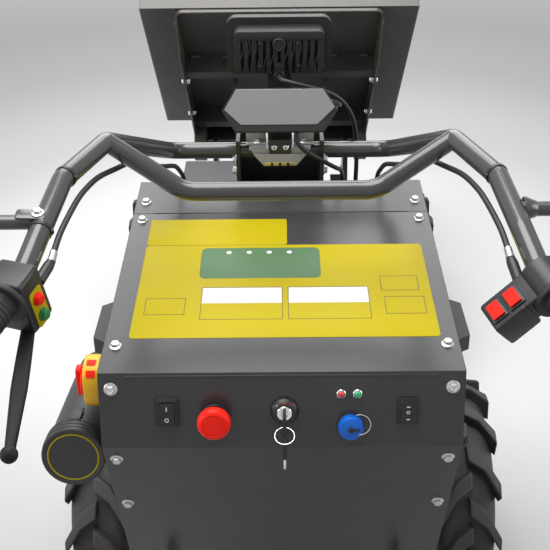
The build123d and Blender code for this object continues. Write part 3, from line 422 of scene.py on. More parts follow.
def plate(points, depth, place=Matrix(), edge=0.0):
    """Flat piece with an outline of (x, y) points in mm on the place's plane."""
    clear_selection()
    bpy.ops.mesh.primitive_circle_add(vertices=len(points), radius=1.0, fill_type="NGON")
    piece = bpy.context.active_object
    with editing(piece):
        move_points(piece, lambda index, point: Vector((points[index][0], points[index][1], 0.0)) * MM)
        bpy.ops.mesh.select_all(action="SELECT")
        bpy.ops.mesh.extrude_region_move(TRANSFORM_OT_translate={"value": (0, 0, depth * MM)})
    if edge > 0.0:
        settle(piece, Matrix())
        round_edges(piece, edge)
    return settle(piece, place)


def outlined(width, length, line, depth, place):
    """Thin rectangular outline, made by insetting a block's top and bottom and joining the two holes."""
    piece = slab(width, length, depth)
    with editing(piece):
        choose_faces(piece, lambda centre, normal: abs(normal.z) > 0.9)
        bpy.ops.mesh.inset(thickness=line * MM)
        bpy.ops.mesh.bridge_edge_loops()
    return settle(piece, place)


def see_saw(width, length, depth, dip, place):
    """Rocker cap whose top dips in the middle."""
    def dipped(index, point):
        low = abs(point.y) < 1e-4 and point.z > depth / 2 * MM
        return point - Vector((0, 0, dip * MM if low else 0))

    cap = slab(width, length, depth)
    with editing(cap):
        bpy.ops.mesh.select_all(action="SELECT")
        bpy.ops.mesh.bisect(plane_co=(0, 0, 0), plane_no=(0, 1, 0))
        move_points(cap, dipped)
    round_edges(cap, 0.5)
    return settle(cap, place)


def paint(piece, material):
    piece.data.materials.clear()
    piece.data.materials.append(material)


def finish(name):
    return bpy.data.materials[FINISH + name]


def fit(parts, name, material, slot, body="chassis", replaces=()):
    """Joins a piece's parts, names and paints it and fixes it to the body that carries it."""
    piece = joined(parts) if isinstance(parts, list) else parts
    piece.name = name
    piece.data.name = name
    paint(piece, finish(material))
    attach(piece, body)
    if replaces:
        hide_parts(*replaces)


# Shader node helpers

def feed(tree, node, inputs):
    """Links a node's inputs to sockets or sets their values, by name or number."""
    for key, value in inputs.items():
        if isinstance(value, bpy.types.NodeSocket):
            tree.links.new(value, node.inputs[key])
        else:
            node.inputs[key].default_value = value


def add_node(tree, kind, inputs=None, **settings):
    node = tree.nodes.new(kind)
    for key, value in settings.items():
        setattr(node, key, value)
    feed(tree, node, inputs or {})
    return node


def math_node(tree, operation, a, b=0.5, c=0.5, clamp=False):
    inputs = {0: a, 1: b, 2: c}
    return add_node(tree, "ShaderNodeMath", inputs, operation=operation, use_clamp=clamp).outputs[0]


def mix_colour(tree, factor, a, b):
    return add_node(tree, "ShaderNodeMix", {0: factor, 6: a, 7: b}, data_type="RGBA").outputs[2]


def scaled(tree, colour, gain):
    return add_node(tree, "ShaderNodeVectorMath", {0: colour, "Scale": gain}, operation="SCALE").outputs[0]


def noise(tree, place, scale, detail, roughness=0.5):
    inputs = {"Vector": place, "Scale": scale, "Detail": detail, "Roughness": roughness}
    return add_node(tree, "ShaderNodeTexNoise", inputs).outputs["Fac"]


def object_place(tree):
    return add_node(tree, "ShaderNodeTexCoord").outputs["Object"]


def rgba(colour):
    return (colour[0], colour[1], colour[2], 1.0)


# Shared effects, as node groups that give colours and values

NUMBER = "NodeSocketFloat"
COLOUR = "NodeSocketColor"


def new_group(name, inputs, outputs):
    """Empty shader node group with named sockets, given as (name, socket type, default)."""
    tree = bpy.data.node_groups.new(name, "ShaderNodeTree")
    for label, kind, default in inputs:
        socket = tree.interface.new_socket(label, in_out="INPUT", socket_type=kind)
        socket.default_value = default
    for label, kind in outputs:
        tree.interface.new_socket(label, in_out="OUTPUT", socket_type=kind)
    return tree, add_node(tree, "NodeGroupInput").outputs, add_node(tree, "NodeGroupOutput")


def coat_group():
    """Colour, roughness and height of a painted or moulded surface: slow mottling and fine grain."""
    tree, given, result = new_group(
        "coat_grain",
        [("Colour", COLOUR, (0.1, 0.1, 0.1, 1)), ("Mottle", NUMBER, 0.1), ("Mottle scale", NUMBER, 6.0),
         ("Grain scale", NUMBER, 900.0), ("Roughness", NUMBER, 0.4), ("Roughness spread", NUMBER, 0.1)],
        [("Colour", COLOUR), ("Roughness", NUMBER), ("Height", NUMBER)])
    place = object_place(tree)
    centred = math_node(tree, "SUBTRACT", noise(tree, place, given["Mottle scale"], 5.0, 0.6), 0.5)
    gain = math_node(tree, "MULTIPLY_ADD", centred, given["Mottle"], 1.0)
    spread = math_node(tree, "MULTIPLY", centred, given["Roughness spread"])
    feed(tree, result, {"Colour": scaled(tree, given["Colour"], gain),
                        "Roughness": math_node(tree, "ADD", given["Roughness"], spread, clamp=True),
                        "Height": noise(tree, place, given["Grain scale"], 2.0)})


def dust_group():
    """Pale dust that settles in patches."""
    tree, given, result = new_group(
        "settled_dust",
        [("Colour", COLOUR, (0.1, 0.1, 0.1, 1)), ("Dust colour", COLOUR, (0.3, 0.28, 0.24, 1)),
         ("Amount", NUMBER, 0.2), ("Scale", NUMBER, 9.0), ("Roughness", NUMBER, 0.4)],
        [("Colour", COLOUR), ("Roughness", NUMBER)])
    patch = noise(tree, object_place(tree), given["Scale"], 8.0, 0.65)
    shaped = add_node(tree, "ShaderNodeMapRange", {"Value": patch, "From Min": 0.35, "From Max": 0.75})
    mask = math_node(tree, "MULTIPLY", shaped.outputs[0], given["Amount"], clamp=True)
    feed(tree, result, {"Colour": mix_colour(tree, mask, given["Colour"], given["Dust colour"]),
                        "Roughness": math_node(tree, "MULTIPLY_ADD", mask, 0.4, given["Roughness"])})


def brush_group():
    """Colour, roughness and height of plated or drawn metal, with fine lines along one way."""
    tree, given, result = new_group(
        "drawn_metal",
        [("Colour", COLOUR, (0.6, 0.6, 0.6, 1)), ("Line scale", NUMBER, 700.0), ("Roughness", NUMBER, 0.25)],
        [("Colour", COLOUR), ("Roughness", NUMBER), ("Height", NUMBER)])
    place = object_place(tree)
    drawn = add_node(tree, "ShaderNodeMapping", {"Vector": place, "Scale": (1.0, 0.06, 1.0)}).outputs[0]
    lines = noise(tree, drawn, given["Line scale"], 3.0)
    tone = math_node(tree, "MULTIPLY_ADD", noise(tree, place, 60.0, 3.0), 0.3, 0.85)
    feed(tree, result, {"Colour": scaled(tree, given["Colour"], tone),
                        "Roughness": math_node(tree, "MULTIPLY_ADD", lines, 0.15, given["Roughness"]),
                        "Height": lines})


def effect(tree, group, inputs):
    """Outputs of a shared effect added to a material's tree."""
    return add_node(tree, "ShaderNodeGroup", inputs, node_tree=bpy.data.node_groups[group]).outputs


# Materials

def bare_material(name):
    material = bpy.data.materials.new(FINISH + name)
    material.use_nodes = True
    tree = material.node_tree
    tree.nodes.clear()
    shader = add_node(tree, "ShaderNodeBsdfPrincipled")
    add_node(tree, "ShaderNodeOutputMaterial", {0: shader.outputs[0]})
    return material, tree, shader


def add_bump(tree, shader, height, strength, distance, edge=0.0):
    inputs = {"Height": height, "Strength": strength, "Distance": distance}
    if edge > 0.0:
        inputs["Normal"] = add_node(tree, "ShaderNodeBevel", {"Radius": edge}, samples=4).outputs[0]
    bump = add_node(tree, "ShaderNodeBump", inputs)
    feed(tree, shader, {"Normal": bump.outputs[0]})


def coated(name, colour, roughness, mottle=0.25, spread=0.12, grain=900.0, bump=0.08, depth=0.0004, dust=0.0,
           dust_colour=(0.30, 0.28, 0.24), coat=0.0, edge=0.0, specular=0.5, transmission=0.0, ior=1.5):
    """Paint, plastic, rubber or clear lens made from the shared grain and dust groups."""
    material, tree, shader = bare_material(name)
    surface = look = effect(tree, "coat_grain", {
        "Colour": rgba(colour), "Mottle": mottle, "Grain scale": grain, "Roughness": roughness,
        "Roughness spread": spread})
    if dust > 0.0:
        look = effect(tree, "settled_dust", {
            "Colour": surface["Colour"], "Roughness": surface["Roughness"], "Amount": dust,
            "Dust colour": rgba(dust_colour)})
    feed(tree, shader, {"Base Color": look["Colour"], "Roughness": look["Roughness"],
                        "Specular IOR Level": specular, "Coat Weight": coat, "Coat Roughness": 0.12})
    if transmission > 0.0:
        feed(tree, shader, {"Transmission Weight": transmission, "IOR": ior})
    add_bump(tree, shader, surface["Height"], bump, depth, edge)
    return material


def metallic(name, colour, roughness):
    """Plated, drawn or cast metal made from the shared line group."""
    material, tree, shader = bare_material(name)
    surface = effect(tree, "drawn_metal", {
        "Colour": rgba(colour), "Line scale": 700.0, "Roughness": roughness})
    feed(tree, shader, {"Base Color": surface["Colour"], "Roughness": surface["Roughness"], "Metallic": 1.0})
    add_bump(tree, shader, surface["Height"], 0.05, 0.0002)
    return material


class DUMPER_OT_finishes(bpy.types.Operator):
    """Makes the finishes and puts them on the machine's solids"""

    bl_idname = "dumper.finishes"
    bl_label = "Finishes"

    def execute(self, context):
        tones = context.scene.dumper_finishes
        coat_group()
        dust_group()
        brush_group()
        made = {
            "body_paint": coated("anthracite_paint", tones.body, 0.40, dust=0.03, coat=0.05, edge=0.0012),
            # The tub's coat: real paint and dust, with a warm tint that is a painted reflection of light from
            # the floor.
            "tub_paint": coated("tub_paint", tones.tub, 0.36, dust=0.10, coat=0.25, edge=0.0012),
            "black_paint": coated("black_paint", tones.black, 0.38, dust=0.06, edge=0.0010),
            "rim_paint": coated("rim_paint", tones.body, 0.42, dust=0.15, edge=0.0010),
            "tyre_rubber": coated("tyre_rubber", tones.tyre, 0.62, grain=420.0, bump=0.25, dust=0.14,
                                  dust_colour=(0.11, 0.105, 0.095)),
            "box_plastic": coated("box_plastic", (0.075, 0.077, 0.08), 0.5, grain=1500.0, bump=0.2,
                                  dust=0.08),
            "zinc_steel": metallic("zinc_plate", tones.steel, 0.28),
            "switch_black": coated("switch_plastic", tones.plastic, 0.42, grain=2200.0, bump=0.15,
                                   edge=0.0006),
            "signal_red": coated("signal_red", tones.red, 0.34, mottle=0.06, grain=2000.0, bump=0.05,
                                 edge=0.0006, specular=0.16),
            "signal_green": coated("signal_green", tones.green, 0.32, mottle=0.06, grain=2000.0, bump=0.05),
            "bright_steel": metallic("bright_plate", (0.80, 0.80, 0.79), 0.14),
            "socket_blue": coated("socket_blue", tones.blue, 0.36, mottle=0.08, grain=1800.0, bump=0.06),
            "isolator_yellow": coated("isolator_yellow", tones.yellow, 0.38, mottle=0.08, grain=1500.0,
                                      bump=0.06),
            "tube_plastic": coated("tube_plastic", (0.028, 0.028, 0.027), 0.48, grain=1300.0, bump=0.2,
                                   edge=0.0010),
            "grip_rubber": coated("grip_rubber", tones.plastic, 0.62, grain=1600.0, bump=0.25),
            "lever_black": coated("lever_coat", tones.plastic, 0.58, bump=0.05, specular=0.18),
            "display_glass": coated("display_window", (0.22, 0.22, 0.225), 0.12, mottle=0.05, bump=0.01,
                                    coat=0.6),
            "lamp_casting": coated("lamp_casting", tones.plastic, 0.5, grain=1100.0, bump=0.25, edge=0.0008),
            "lamp_glass": coated("lamp_lens", (0.85, 0.88, 0.90), 0.06, mottle=0.05, spread=0.05, grain=300.0,
                                 bump=0.03, depth=0.0002, transmission=0.85, ior=1.49),
            "lead_rubber": coated("lead_sheath", tones.plastic, 0.5, grain=1500.0, bump=0.1),
            "rod_chrome": metallic("hard_chrome", (0.78, 0.79, 0.80), 0.10),
        }
        coated("label_yellow", tones.label, 0.46, mottle=0.12, grain=700.0, bump=0.03, specular=0.12)
        coated("label_green", (0.085, 0.165, 0.080), 0.46, mottle=0.20, grain=700.0, bump=0.03, specular=0.22)
        coated("label_white", (0.66, 0.66, 0.64), 0.46, mottle=0.08, grain=700.0, bump=0.03, specular=0.22)
        # Black of the label's printed ink, also used for the painted shade in the screw slots.
        coated("ink_and_slot_shade", (0.020, 0.020, 0.020), 0.40, mottle=0.20, grain=700.0, bump=0.03)
        coated("mark_white", (0.75, 0.75, 0.74), 0.45, mottle=0.10, grain=900.0, bump=0.05)
        coated("lens_red", (0.62, 0.02, 0.03), 0.10, mottle=0.12, grain=500.0, bump=0.02, coat=0.8)
        coated("lens_green", (0.02, 0.42, 0.16), 0.10, mottle=0.12, grain=500.0, bump=0.02, coat=0.8)
        coated("led_phosphor", (0.80, 0.62, 0.12), 0.45, mottle=0.15, grain=900.0, bump=0.1)
        metallic("passivated_zinc", (0.62, 0.55, 0.22), 0.30)
        metallic("reflector", (0.82, 0.83, 0.84), 0.18)
        coated("satin_zinc", (0.40, 0.40, 0.39), 0.30, mottle=0.3, grain=500.0, bump=0.06, edge=0.0006)
        coated("bar_paint", tones.body, 0.24, dust=0.02, coat=0.35)
        coated("side_paint", tones.body, 0.52, dust=0.03, edge=0.0012, specular=0.25)
        coated("cover_paint", [0.84 * part for part in tones.body], 0.26, spread=0.08, dust=0.03, bump=0.04,
               edge=0.0012, specular=0.42)
        # Darker coat of the tub's floor and the cross members under it: its mottle, grain and dust are real,
        # its darkness is painted shade under the tipped tub.
        coated("load_floor_and_shade", (0.026, 0.025, 0.023), 0.45, mottle=0.4, grain=300.0, bump=0.2, dust=0.10)
        own = {"console_cover": "cover_paint", "floodlight_bracket": "black_paint",
               "console_sides": "side_paint", "display_saddle": "satin_zinc", "handlebar_tube": "bar_paint",
               "handlebar_cross_tube": "bar_paint", "hand_guards": "bar_paint", "tub_floor": "load_floor_and_shade",
               "subframe_cross_members": "load_floor_and_shade"}
        tub_nodes = set(frame["record"]["behaviour"]["bodies"]["tub"])
        for row in frame["record"]["subparts"]:
            node = frame["nodes"][row["node"]]
            slot = row["material_slot"]
            if row["node"] in tub_nodes and slot == "body_paint":
                slot = "tub_paint"
            paint(node, finish(own[row["node"]]) if row["node"] in own else made[slot])
        return {"FINISHED"}


# Finishes of fitted pieces, each with the slot that it goes with

SWITCH = ("switch_plastic", "switch_black")
ZINC = ("zinc_plate", "zinc_steel")
RED = ("signal_red", "signal_red")
CASTING = ("lamp_casting", "lamp_casting")
BLACK = ("black_paint", "black_paint")
LABEL_YELLOW = ("label_yellow", "isolator_yellow")


class DUMPER_OT_leads(bpy.types.Operator):
    """Lays the floodlight's and the display's free leads as smooth cords"""

    bl_idname = "dumper.leads"
    bl_label = "Free leads"

    def execute(self, context):
        for name, route, length in LEADS:
            line = bpy.data.curves.new(name, "CURVE")
            line.dimensions = "3D"
            line.bevel_depth = LEAD_DIAMETER / 2
            line.bevel_resolution = 4
            line.resolution_u = 6
            line.use_fill_caps = True
            spline = line.splines.new("NURBS")
            spline.points.add(len(route) - 1)
            for point, (x, beyond, z) in zip(spline.points, route):
                point.co = (x * MM, (CONSOLE_FRONT_Y + beyond) * MM, z * MM, 1.0)
            spline.order_u = 3
            spline.use_endpoint_u = True
            cord = bpy.data.objects.new(name, line)
            context.collection.objects.link(cord)
            fit(cord, name, "lead_sheath", "lead_rubber", replaces=(name.replace("_cord", "_lead"),))
        return {"FINISHED"}


class DUMPER_OT_tyres(bpy.types.Operator):
    """Moulds the four tyres with their staggered chevron lugs"""

    bl_idname = "dumper.tyres"
    bl_label = "Tyres"

    LUGS_A_SIDE = 14
    PLAN = ((-3, 46), (24, 26), (50, -20), (50, -46), (24, -2), (-3, 18))
    FOOT_R = 165.0
    LUG_TIP = 46.0
    SIDEWALL = ((101.8, 34.4), (108, 36.5), (116, 41), (128, 45.2), (142, 47), (156, 47.2), (166, 46),
                (175, 43), (182, 38.5), (186, 33), (187.5, 24))

    def lug(self, side, width):
        """One lug over the top of the wheel's axis, its crown curved to the wheel's radius."""
        piece = plate([(side * x, y) for x, y in self.PLAN], 1.0)
        with editing(piece):
            move_points(piece, self.crowned)
        settle(piece, Matrix())
        round_edges(piece, width / MM, 2, 25.0)
        return settle(piece, Matrix(), 30.0)

    def crowned(self, index, point):
        """Puts a lug's lower points on the carcass and its upper ones on the wheel's radius."""
        reach = self.FOOT_R * MM
        if point.z > 0.0:
            reach = math.sqrt((WHEEL_R * MM) ** 2 - point.y ** 2)
        return Vector((point.x, point.y, reach))

    def execute(self, context):
        width = context.scene.dumper_sizes.lug_round
        outline = list(self.SIDEWALL) + [(188, 0)] + [(r, -x) for r, x in self.SIDEWALL[::-1]]
        crown = math.degrees(math.atan2(self.LUG_TIP, math.sqrt(WHEEL_R ** 2 - self.LUG_TIP ** 2)))
        pitch = 360.0 / self.LUGS_A_SIDE
        for wheel, side, at in wheels():
            name = wheel.replace("wheel", "tyre")
            axle = Matrix.Translation(at)
            pieces = [turned(outline, turned_to(axle, 90, "Y"), 56)]
            for half, start in ((side, 0.0), (-side, 0.5)):
                places = [turned_to(axle, 180 + crown + (i + start) * pitch, "X")
                          for i in range(self.LUGS_A_SIDE)]
                pieces.append(copies(self.lug(half, width), places))
            fit(pieces, f"moulded_{name}", "tyre_rubber", "tyre_rubber", wheel, (name,))
        return {"FINISHED"}


def bolt_pattern(scale):
    """Hexagon head on a round flange, standing on the origin."""
    flange = [(0, 0), (BOLT_FLANGE_R, 0), (BOLT_FLANGE_R, 0.9), (7.4, 1.5), (5.4, 2.2), (0, 2.2)]
    head = [(0, 2.0), (5.6, 2.0), (5.6, 5.0), (4.9, 5.9), (3.5, 5.9), (3.1, 5.6), (0, 5.6)]
    return joined([turned([(r * scale, h * scale) for r, h in outline], steps=steps)
                   for outline, steps in ((flange, 28), (head, 6))])


def screw_pattern(radius):
    """Pan head, standing on the origin."""
    rim = ((0, 0), (1, 0), (1, 0.25), (0.8, 0.5), (0, 0.62))
    return turned([(r * radius, h * radius) for r, h in rim], steps=24)


def slot_shade_pattern(radius):
    """Cross slot of a pan head that stands on the origin, as a thin cross on the head that is painted dark as
    the slot's shade.
    """
    top = shifted(Matrix(), z=0.58 * radius)
    return joined([slab(1.1 * radius, 0.26 * radius, 0.05 * radius, turned_to(top, turn), 0.02)
                   for turn in (0, 90)])


class DUMPER_OT_bolts(bpy.types.Operator):
    """Sets flanged bolts on the console, the handlebar's post, the wheels and the tub's underframe"""

    bl_idname = "dumper.bolts"
    bl_label = "Bolts"

    def execute(self, context):
        scale = context.scene.dumper_sizes.bolt_flange / (BOLT_FLANGE_R * MM)
        panel = []
        for x in (-203, 203):
            panel += [on_top(x, distance) for distance in (52, 352, 405)]
            panel += [on_face(x, 20), on_lower(x, 25), on_lower(x, 140)]
        for way in (-1, 1):
            panel += [frame_at((way * 66, FRONT_TUBE.y - 14, z), (way, 0, 0)) for z in (880, 862)]
        fit(copies(bolt_pattern(scale), panel), "panel_bolts", *ZINC)
        under = []
        for way in (-1, 1):
            for behind in (285, 120):
                under.append(on_tub(way * 217, behind, 45, (way, 0, 0)))
                under.append(on_tub(way * 213, behind, 45, (-way, 0, 0)))
        fit(copies(bolt_pattern(1.2 * scale), under), "underframe_bolts", "bright_plate", "zinc_steel", "tub")
        for wheel, side, at in wheels():
            hub = frame_at(at / MM, (side, 0, 0), (0, 1, 0))
            places = [shifted(turned_to(hub, 72 * i), x=31, z=30) for i in range(5)]
            nuts = copies(bolt_pattern(1.1 * scale), places)
            cap = turned([(0, 43), (9, 42), (14, 39), (16.5, 35), (17.5, 30.1), (0, 30.1)], hub)
            fit([nuts, cap], f"{wheel}_nuts", *ZINC, wheel)
        return {"FINISHED"}


class DUMPER_OT_console_trim(bpy.types.Operator):
    """Adds the console's folded lips and the film label with its blank fields"""

    bl_idname = "dumper.console_trim"
    bl_label = "Console trim"

    def execute(self, context):
        fit(slab(376, 2.6, 0.3, on_top(0, 372.5), 0.1), "seam_slot", *BLACK)
        fit(slab(372, 2.4, 0.8, on_face(0, 4.2), 0.3), "face_lip", "anthracite_paint", "body_paint")
        film = context.scene.dumper_sizes.label_lift / MM
        films = [slab(386, 214.6, film, on_top(4, 174.3), 0.1, 5),
                 slab(198, 70.6, film, on_top(-90, 317.7), 0.1, 4)]
        fit(films, "console_label", *LABEL_YELLOW)
        green = slab(164, 76, 0.12, on_top(-28, 236, film), 0.03, 9)
        fit(green, "label_green_field", "label_green", "isolator_yellow")
        white = [slab(104, 35, 0.12, on_top(x, 158, film), 0.03) for x in (-51, 62)]
        fit(white, "label_white_fields", "label_white", "isolator_yellow")
        boxes = ((-51, 141, 106, 72), (62, 141, 106, 72), (157, 184, 50, 34), (160, 134, 52, 38),
                 (-150, 134, 52, 36))
        lines = [outlined(width, length, 0.7, 0.2, on_top(x, ahead, film))
                 for x, ahead, width, length in boxes]
        fit(lines, "label_outlines", "ink_and_slot_shade", "isolator_yellow")
        dots = [ring(0, 3.6, 0, 0.25, on_top(x, 262, film + 0.1), 20) for x in (-72, -44, -16, 12)]
        fit(dots, "label_dots", "label_white", "isolator_yellow")
        return {"FINISHED"}


class DUMPER_OT_panel_switches(bpy.types.Operator):
    """Makes the two rocker switches and their marks"""

    bl_idname = "dumper.panel_switches"
    bl_label = "Panel switches"

    def execute(self, context):
        parts = [slab(30, 37, 1.6, on_face(-137, 49.5), 0.6, 2.5),
                 slab(24, 5, 5.2, on_face(-137, 35.5), 1.2)]
        for x in (-137, 150):
            parts.append(slab(26, 33, 3.0, on_face(x, 50), 0.8, 1.5))
            parts.append(see_saw(18, 25, 5.6, 1.6, on_face(x, 50, 2.6)))
        fit(parts, "rocker_switches", *SWITCH, replaces=("panel_rockers",))
        marks = [slab(1.3, 5.0, 0.25, on_face(-137, 43.5, 7.9)),
                 ring(1.7, 2.6, 0, 0.25, on_face(-137, 57.5, 8.0), 24),
                 slab(4.2, 1.2, 0.25, on_face(150, 42.5, 8.0)),
                 slab(4.2, 1.2, 0.25, on_face(150, 58.5, 8.0)),
                 ring(1.3, 2.1, 0, 0.25, on_face(150, 50.0, 6.7), 20)]
        fit(marks, "switch_marks", "mark_white", "switch_black")
        return {"FINISHED"}


class DUMPER_OT_stop_button(bpy.types.Operator):
    """Turns the mushroom head of the emergency stop"""

    bl_idname = "dumper.stop_button"
    bl_label = "Stop button"

    HEAD = ((0, 14), (15, 14), (18.6, 15.0), (19.8, 17.2), (20, 20), (19.8, 23), (18.8, 25.8), (16.8, 27.8),
            (14.4, 28.8), (13.4, 28.9), (12.9, 28.3), (12.2, 28.3), (11.6, 28.8), (6, 28.9), (0, 29))
    COLLAR = ((0, 0), (16, 0), (16, 2.2), (15, 3), (11.5, 3.2), (10.5, 8), (10.5, 14.4), (0, 14.4))

    def execute(self, context):
        place = on_face(-80, 56)
        head = turned(self.HEAD, place, 48)
        fit(head, "stop_mushroom", *RED, replaces=("emergency_stop_head",))
        collar = turned(self.COLLAR, place, 40)
        fit(collar, "stop_collar", *SWITCH, replaces=("emergency_stop_collar",))
        return {"FINISHED"}


class DUMPER_OT_key_switch(bpy.types.Operator):
    """Makes the key switch, its key, the ring and the spare key"""

    bl_idname = "dumper.key_switch"
    bl_label = "Key switch"

    BEZEL = ((0, 0), (17, 0), (17, 2.5), (15.8, 5), (13.5, 7.4), (11.2, 9.2), (9.8, 9.6), (9.2, 8.6),
             (0, 8.6))
    BARREL = ((0, 8.2), (9, 8.2), (9, 10.2), (8.2, 11.0), (4.6, 11.0), (4.2, 10.5), (0, 10.5))

    def execute(self, context):
        place = on_face(3, 49)
        bezel = turned(self.BEZEL, place, 44)
        notches = [slab(4, 2.2, 2.2, shifted(turned_to(place, 60 * i + 30), y=16.3), 0.5) for i in range(6)]
        fit([bezel] + notches, "key_bezel", *SWITCH, replaces=("key_switch",))
        barrel = turned(self.BARREL, place, 32)
        loop = hoop(11.6, 0.95, turned_to(on_face(3, 71, 24), -58, "X"), 44)
        blade = slab(3.0, 13, 1.4, on_face(3, 109, 20.5), 0.3)
        fit([barrel, loop, blade], "key_metal", "bright_plate", "bright_steel")
        bow = slab(4, 20, 18.5, on_face(3, 55, 10.4), 1.2, 1.5)
        spare = slab(5, 27, 3.4, on_face(3, 89, 21), 1.0)
        fit([bow, spare], "key_bows", *SWITCH, replaces=("ignition_key",))
        marks = [slab(4.2, 2.6, 0.2, shifted(place, y=12.2, z=8.25)),
                 slab(2.6, 2.2, 0.2, shifted(turned_to(place, -35), y=12.4, z=8.25))]
        fit(marks, "key_red_marks", *RED)
        mark = ring(0.9, 1.6, 0, 0.2, shifted(turned_to(place, 42), y=12.4, z=8.2), 16)
        fit(mark, "key_white_mark", "mark_white", "switch_black")
        return {"FINISHED"}


class DUMPER_OT_lamps(bpy.types.Operator):
    """Makes the two indicator lamps and the charging socket's cap with its strap"""

    bl_idname = "dumper.lamps"
    bl_label = "Lamps and socket cap"

    def execute(self, context):
        bezel = [(4.0, 0), (6, 0), (6, 1.4), (5.4, 2.4), (4.5, 2.9), (4.0, 2.4)]
        rings = [turned(bezel, on_face(x, 28), 32) for x in (70.5, 90)]
        fit(rings, "lamp_bezels", "bright_plate", "bright_steel", replaces=("indicator_lamps",))
        dome = [(0, 0), (4.1, 0), (4.1, 2.2), (3.6, 3.4), (2.6, 4.3), (1.3, 4.8), (0, 5)]
        for x, colour in ((70.5, "red"), (90, "green")):
            fit(turned(dome, on_face(x, 28), 28), f"lamp_lens_{colour}", f"lens_{colour}", f"signal_{colour}")
        place = on_face(82, 69)
        cap = turned([(0, 1), (15, 1), (15, 10.5), (14, 12.6), (12, 13.6), (0, 14)], place, 44)
        ribs = [slab(2.4, 1.4, 9, shifted(turned_to(place, 30 * i), y=14.6, z=1.2), 0.5) for i in range(12)]
        fit([cap] + ribs, "socket_cap", "socket_blue", "socket_blue", replaces=("charge_cap",))
        base = turned([(0, 0), (17, 0), (17, 1.6), (16, 2.2), (0, 2.2)], place, 40)
        eyelet = turned([(0, 13.8), (3.6, 13.8), (3.6, 14.8), (2.8, 15.4), (0, 15.4)], place, 24)
        tail = slab(9, 2.6, 1.2, shifted(place, x=6, z=14), 0.4)
        fit([base, eyelet, tail], "socket_gasket", *SWITCH)
        strap = hoop(13.0, 1.1, turned_to(on_face(92, 62, 14.2), 108), 40, 205)
        fit(strap, "socket_strap", *ZINC)
        return {"FINISHED"}


class DUMPER_OT_isolator(bpy.types.Operator):
    """Makes the battery isolator and dresses the document tube's cap on the console's left"""

    bl_idname = "dumper.isolator"
    bl_label = "Isolator and document tube"

    def execute(self, context):
        side = frame_at((-218, CONSOLE_REAR_Y + 29, 770), (-1, 0, 0), (0, 1, 0))
        body = slab(52, 62, 20, side, 2.0, 23.0, 3)
        fit(body, "isolator_case", "isolator_yellow", "isolator_yellow", replaces=("isolator_body",))
        windows = []
        for turn in (11.0, 50.0):
            way = Vector((0.0, -math.sin(math.radians(turn)), math.cos(math.radians(turn))))
            point = Vector((-228.0, CONSOLE_REAR_Y + 26.0, 778.0)) + way * 22.8
            windows.append(slab(11, 9, 0.8, frame_at(point, way), 0.2, 1.2))
        knob = turned([(0, 20), (19, 20), (19, 23), (18, 24.4), (16, 25), (0, 25)], side, 40)
        bar = slab(15, 38, 7, shifted(side, z=24.4), 1.6, 3.0)
        fit([knob, bar], "isolator_handle", *RED, replaces=("isolator_knob",))
        fit(windows, "isolator_windows", *RED)
        dip = math.radians(9.8)
        cap = frame_at((-257, CONSOLE_REAR_Y - 12, 683), (0, -math.cos(dip), math.sin(dip)))
        rim = turned([(33.5, -2), (38.8, -2), (39, -0.8), (38, 0.6), (35, 0.8), (33.5, 0)], cap, 56)
        bands = [turned([(38.5, -z - 3), (39.8, -z - 2.4), (39.8, -z + 0.4), (38.5, -z + 1)], cap, 56)
                 for z in (7, 15, 23)]
        strip = slab(15, 30, 4, frame_at((-257, CONSOLE_REAR_Y + 32, 713), (0, 0.17, 1.0)), 1.2)
        fit([rim, strip] + bands, "document_cap_rim", "tube_plastic", "tube_plastic")
        fit(ring(30.3, 32.1, -0.2, 0.25, cap, 56), "document_cap_ring", *LABEL_YELLOW)
        return {"FINISHED"}


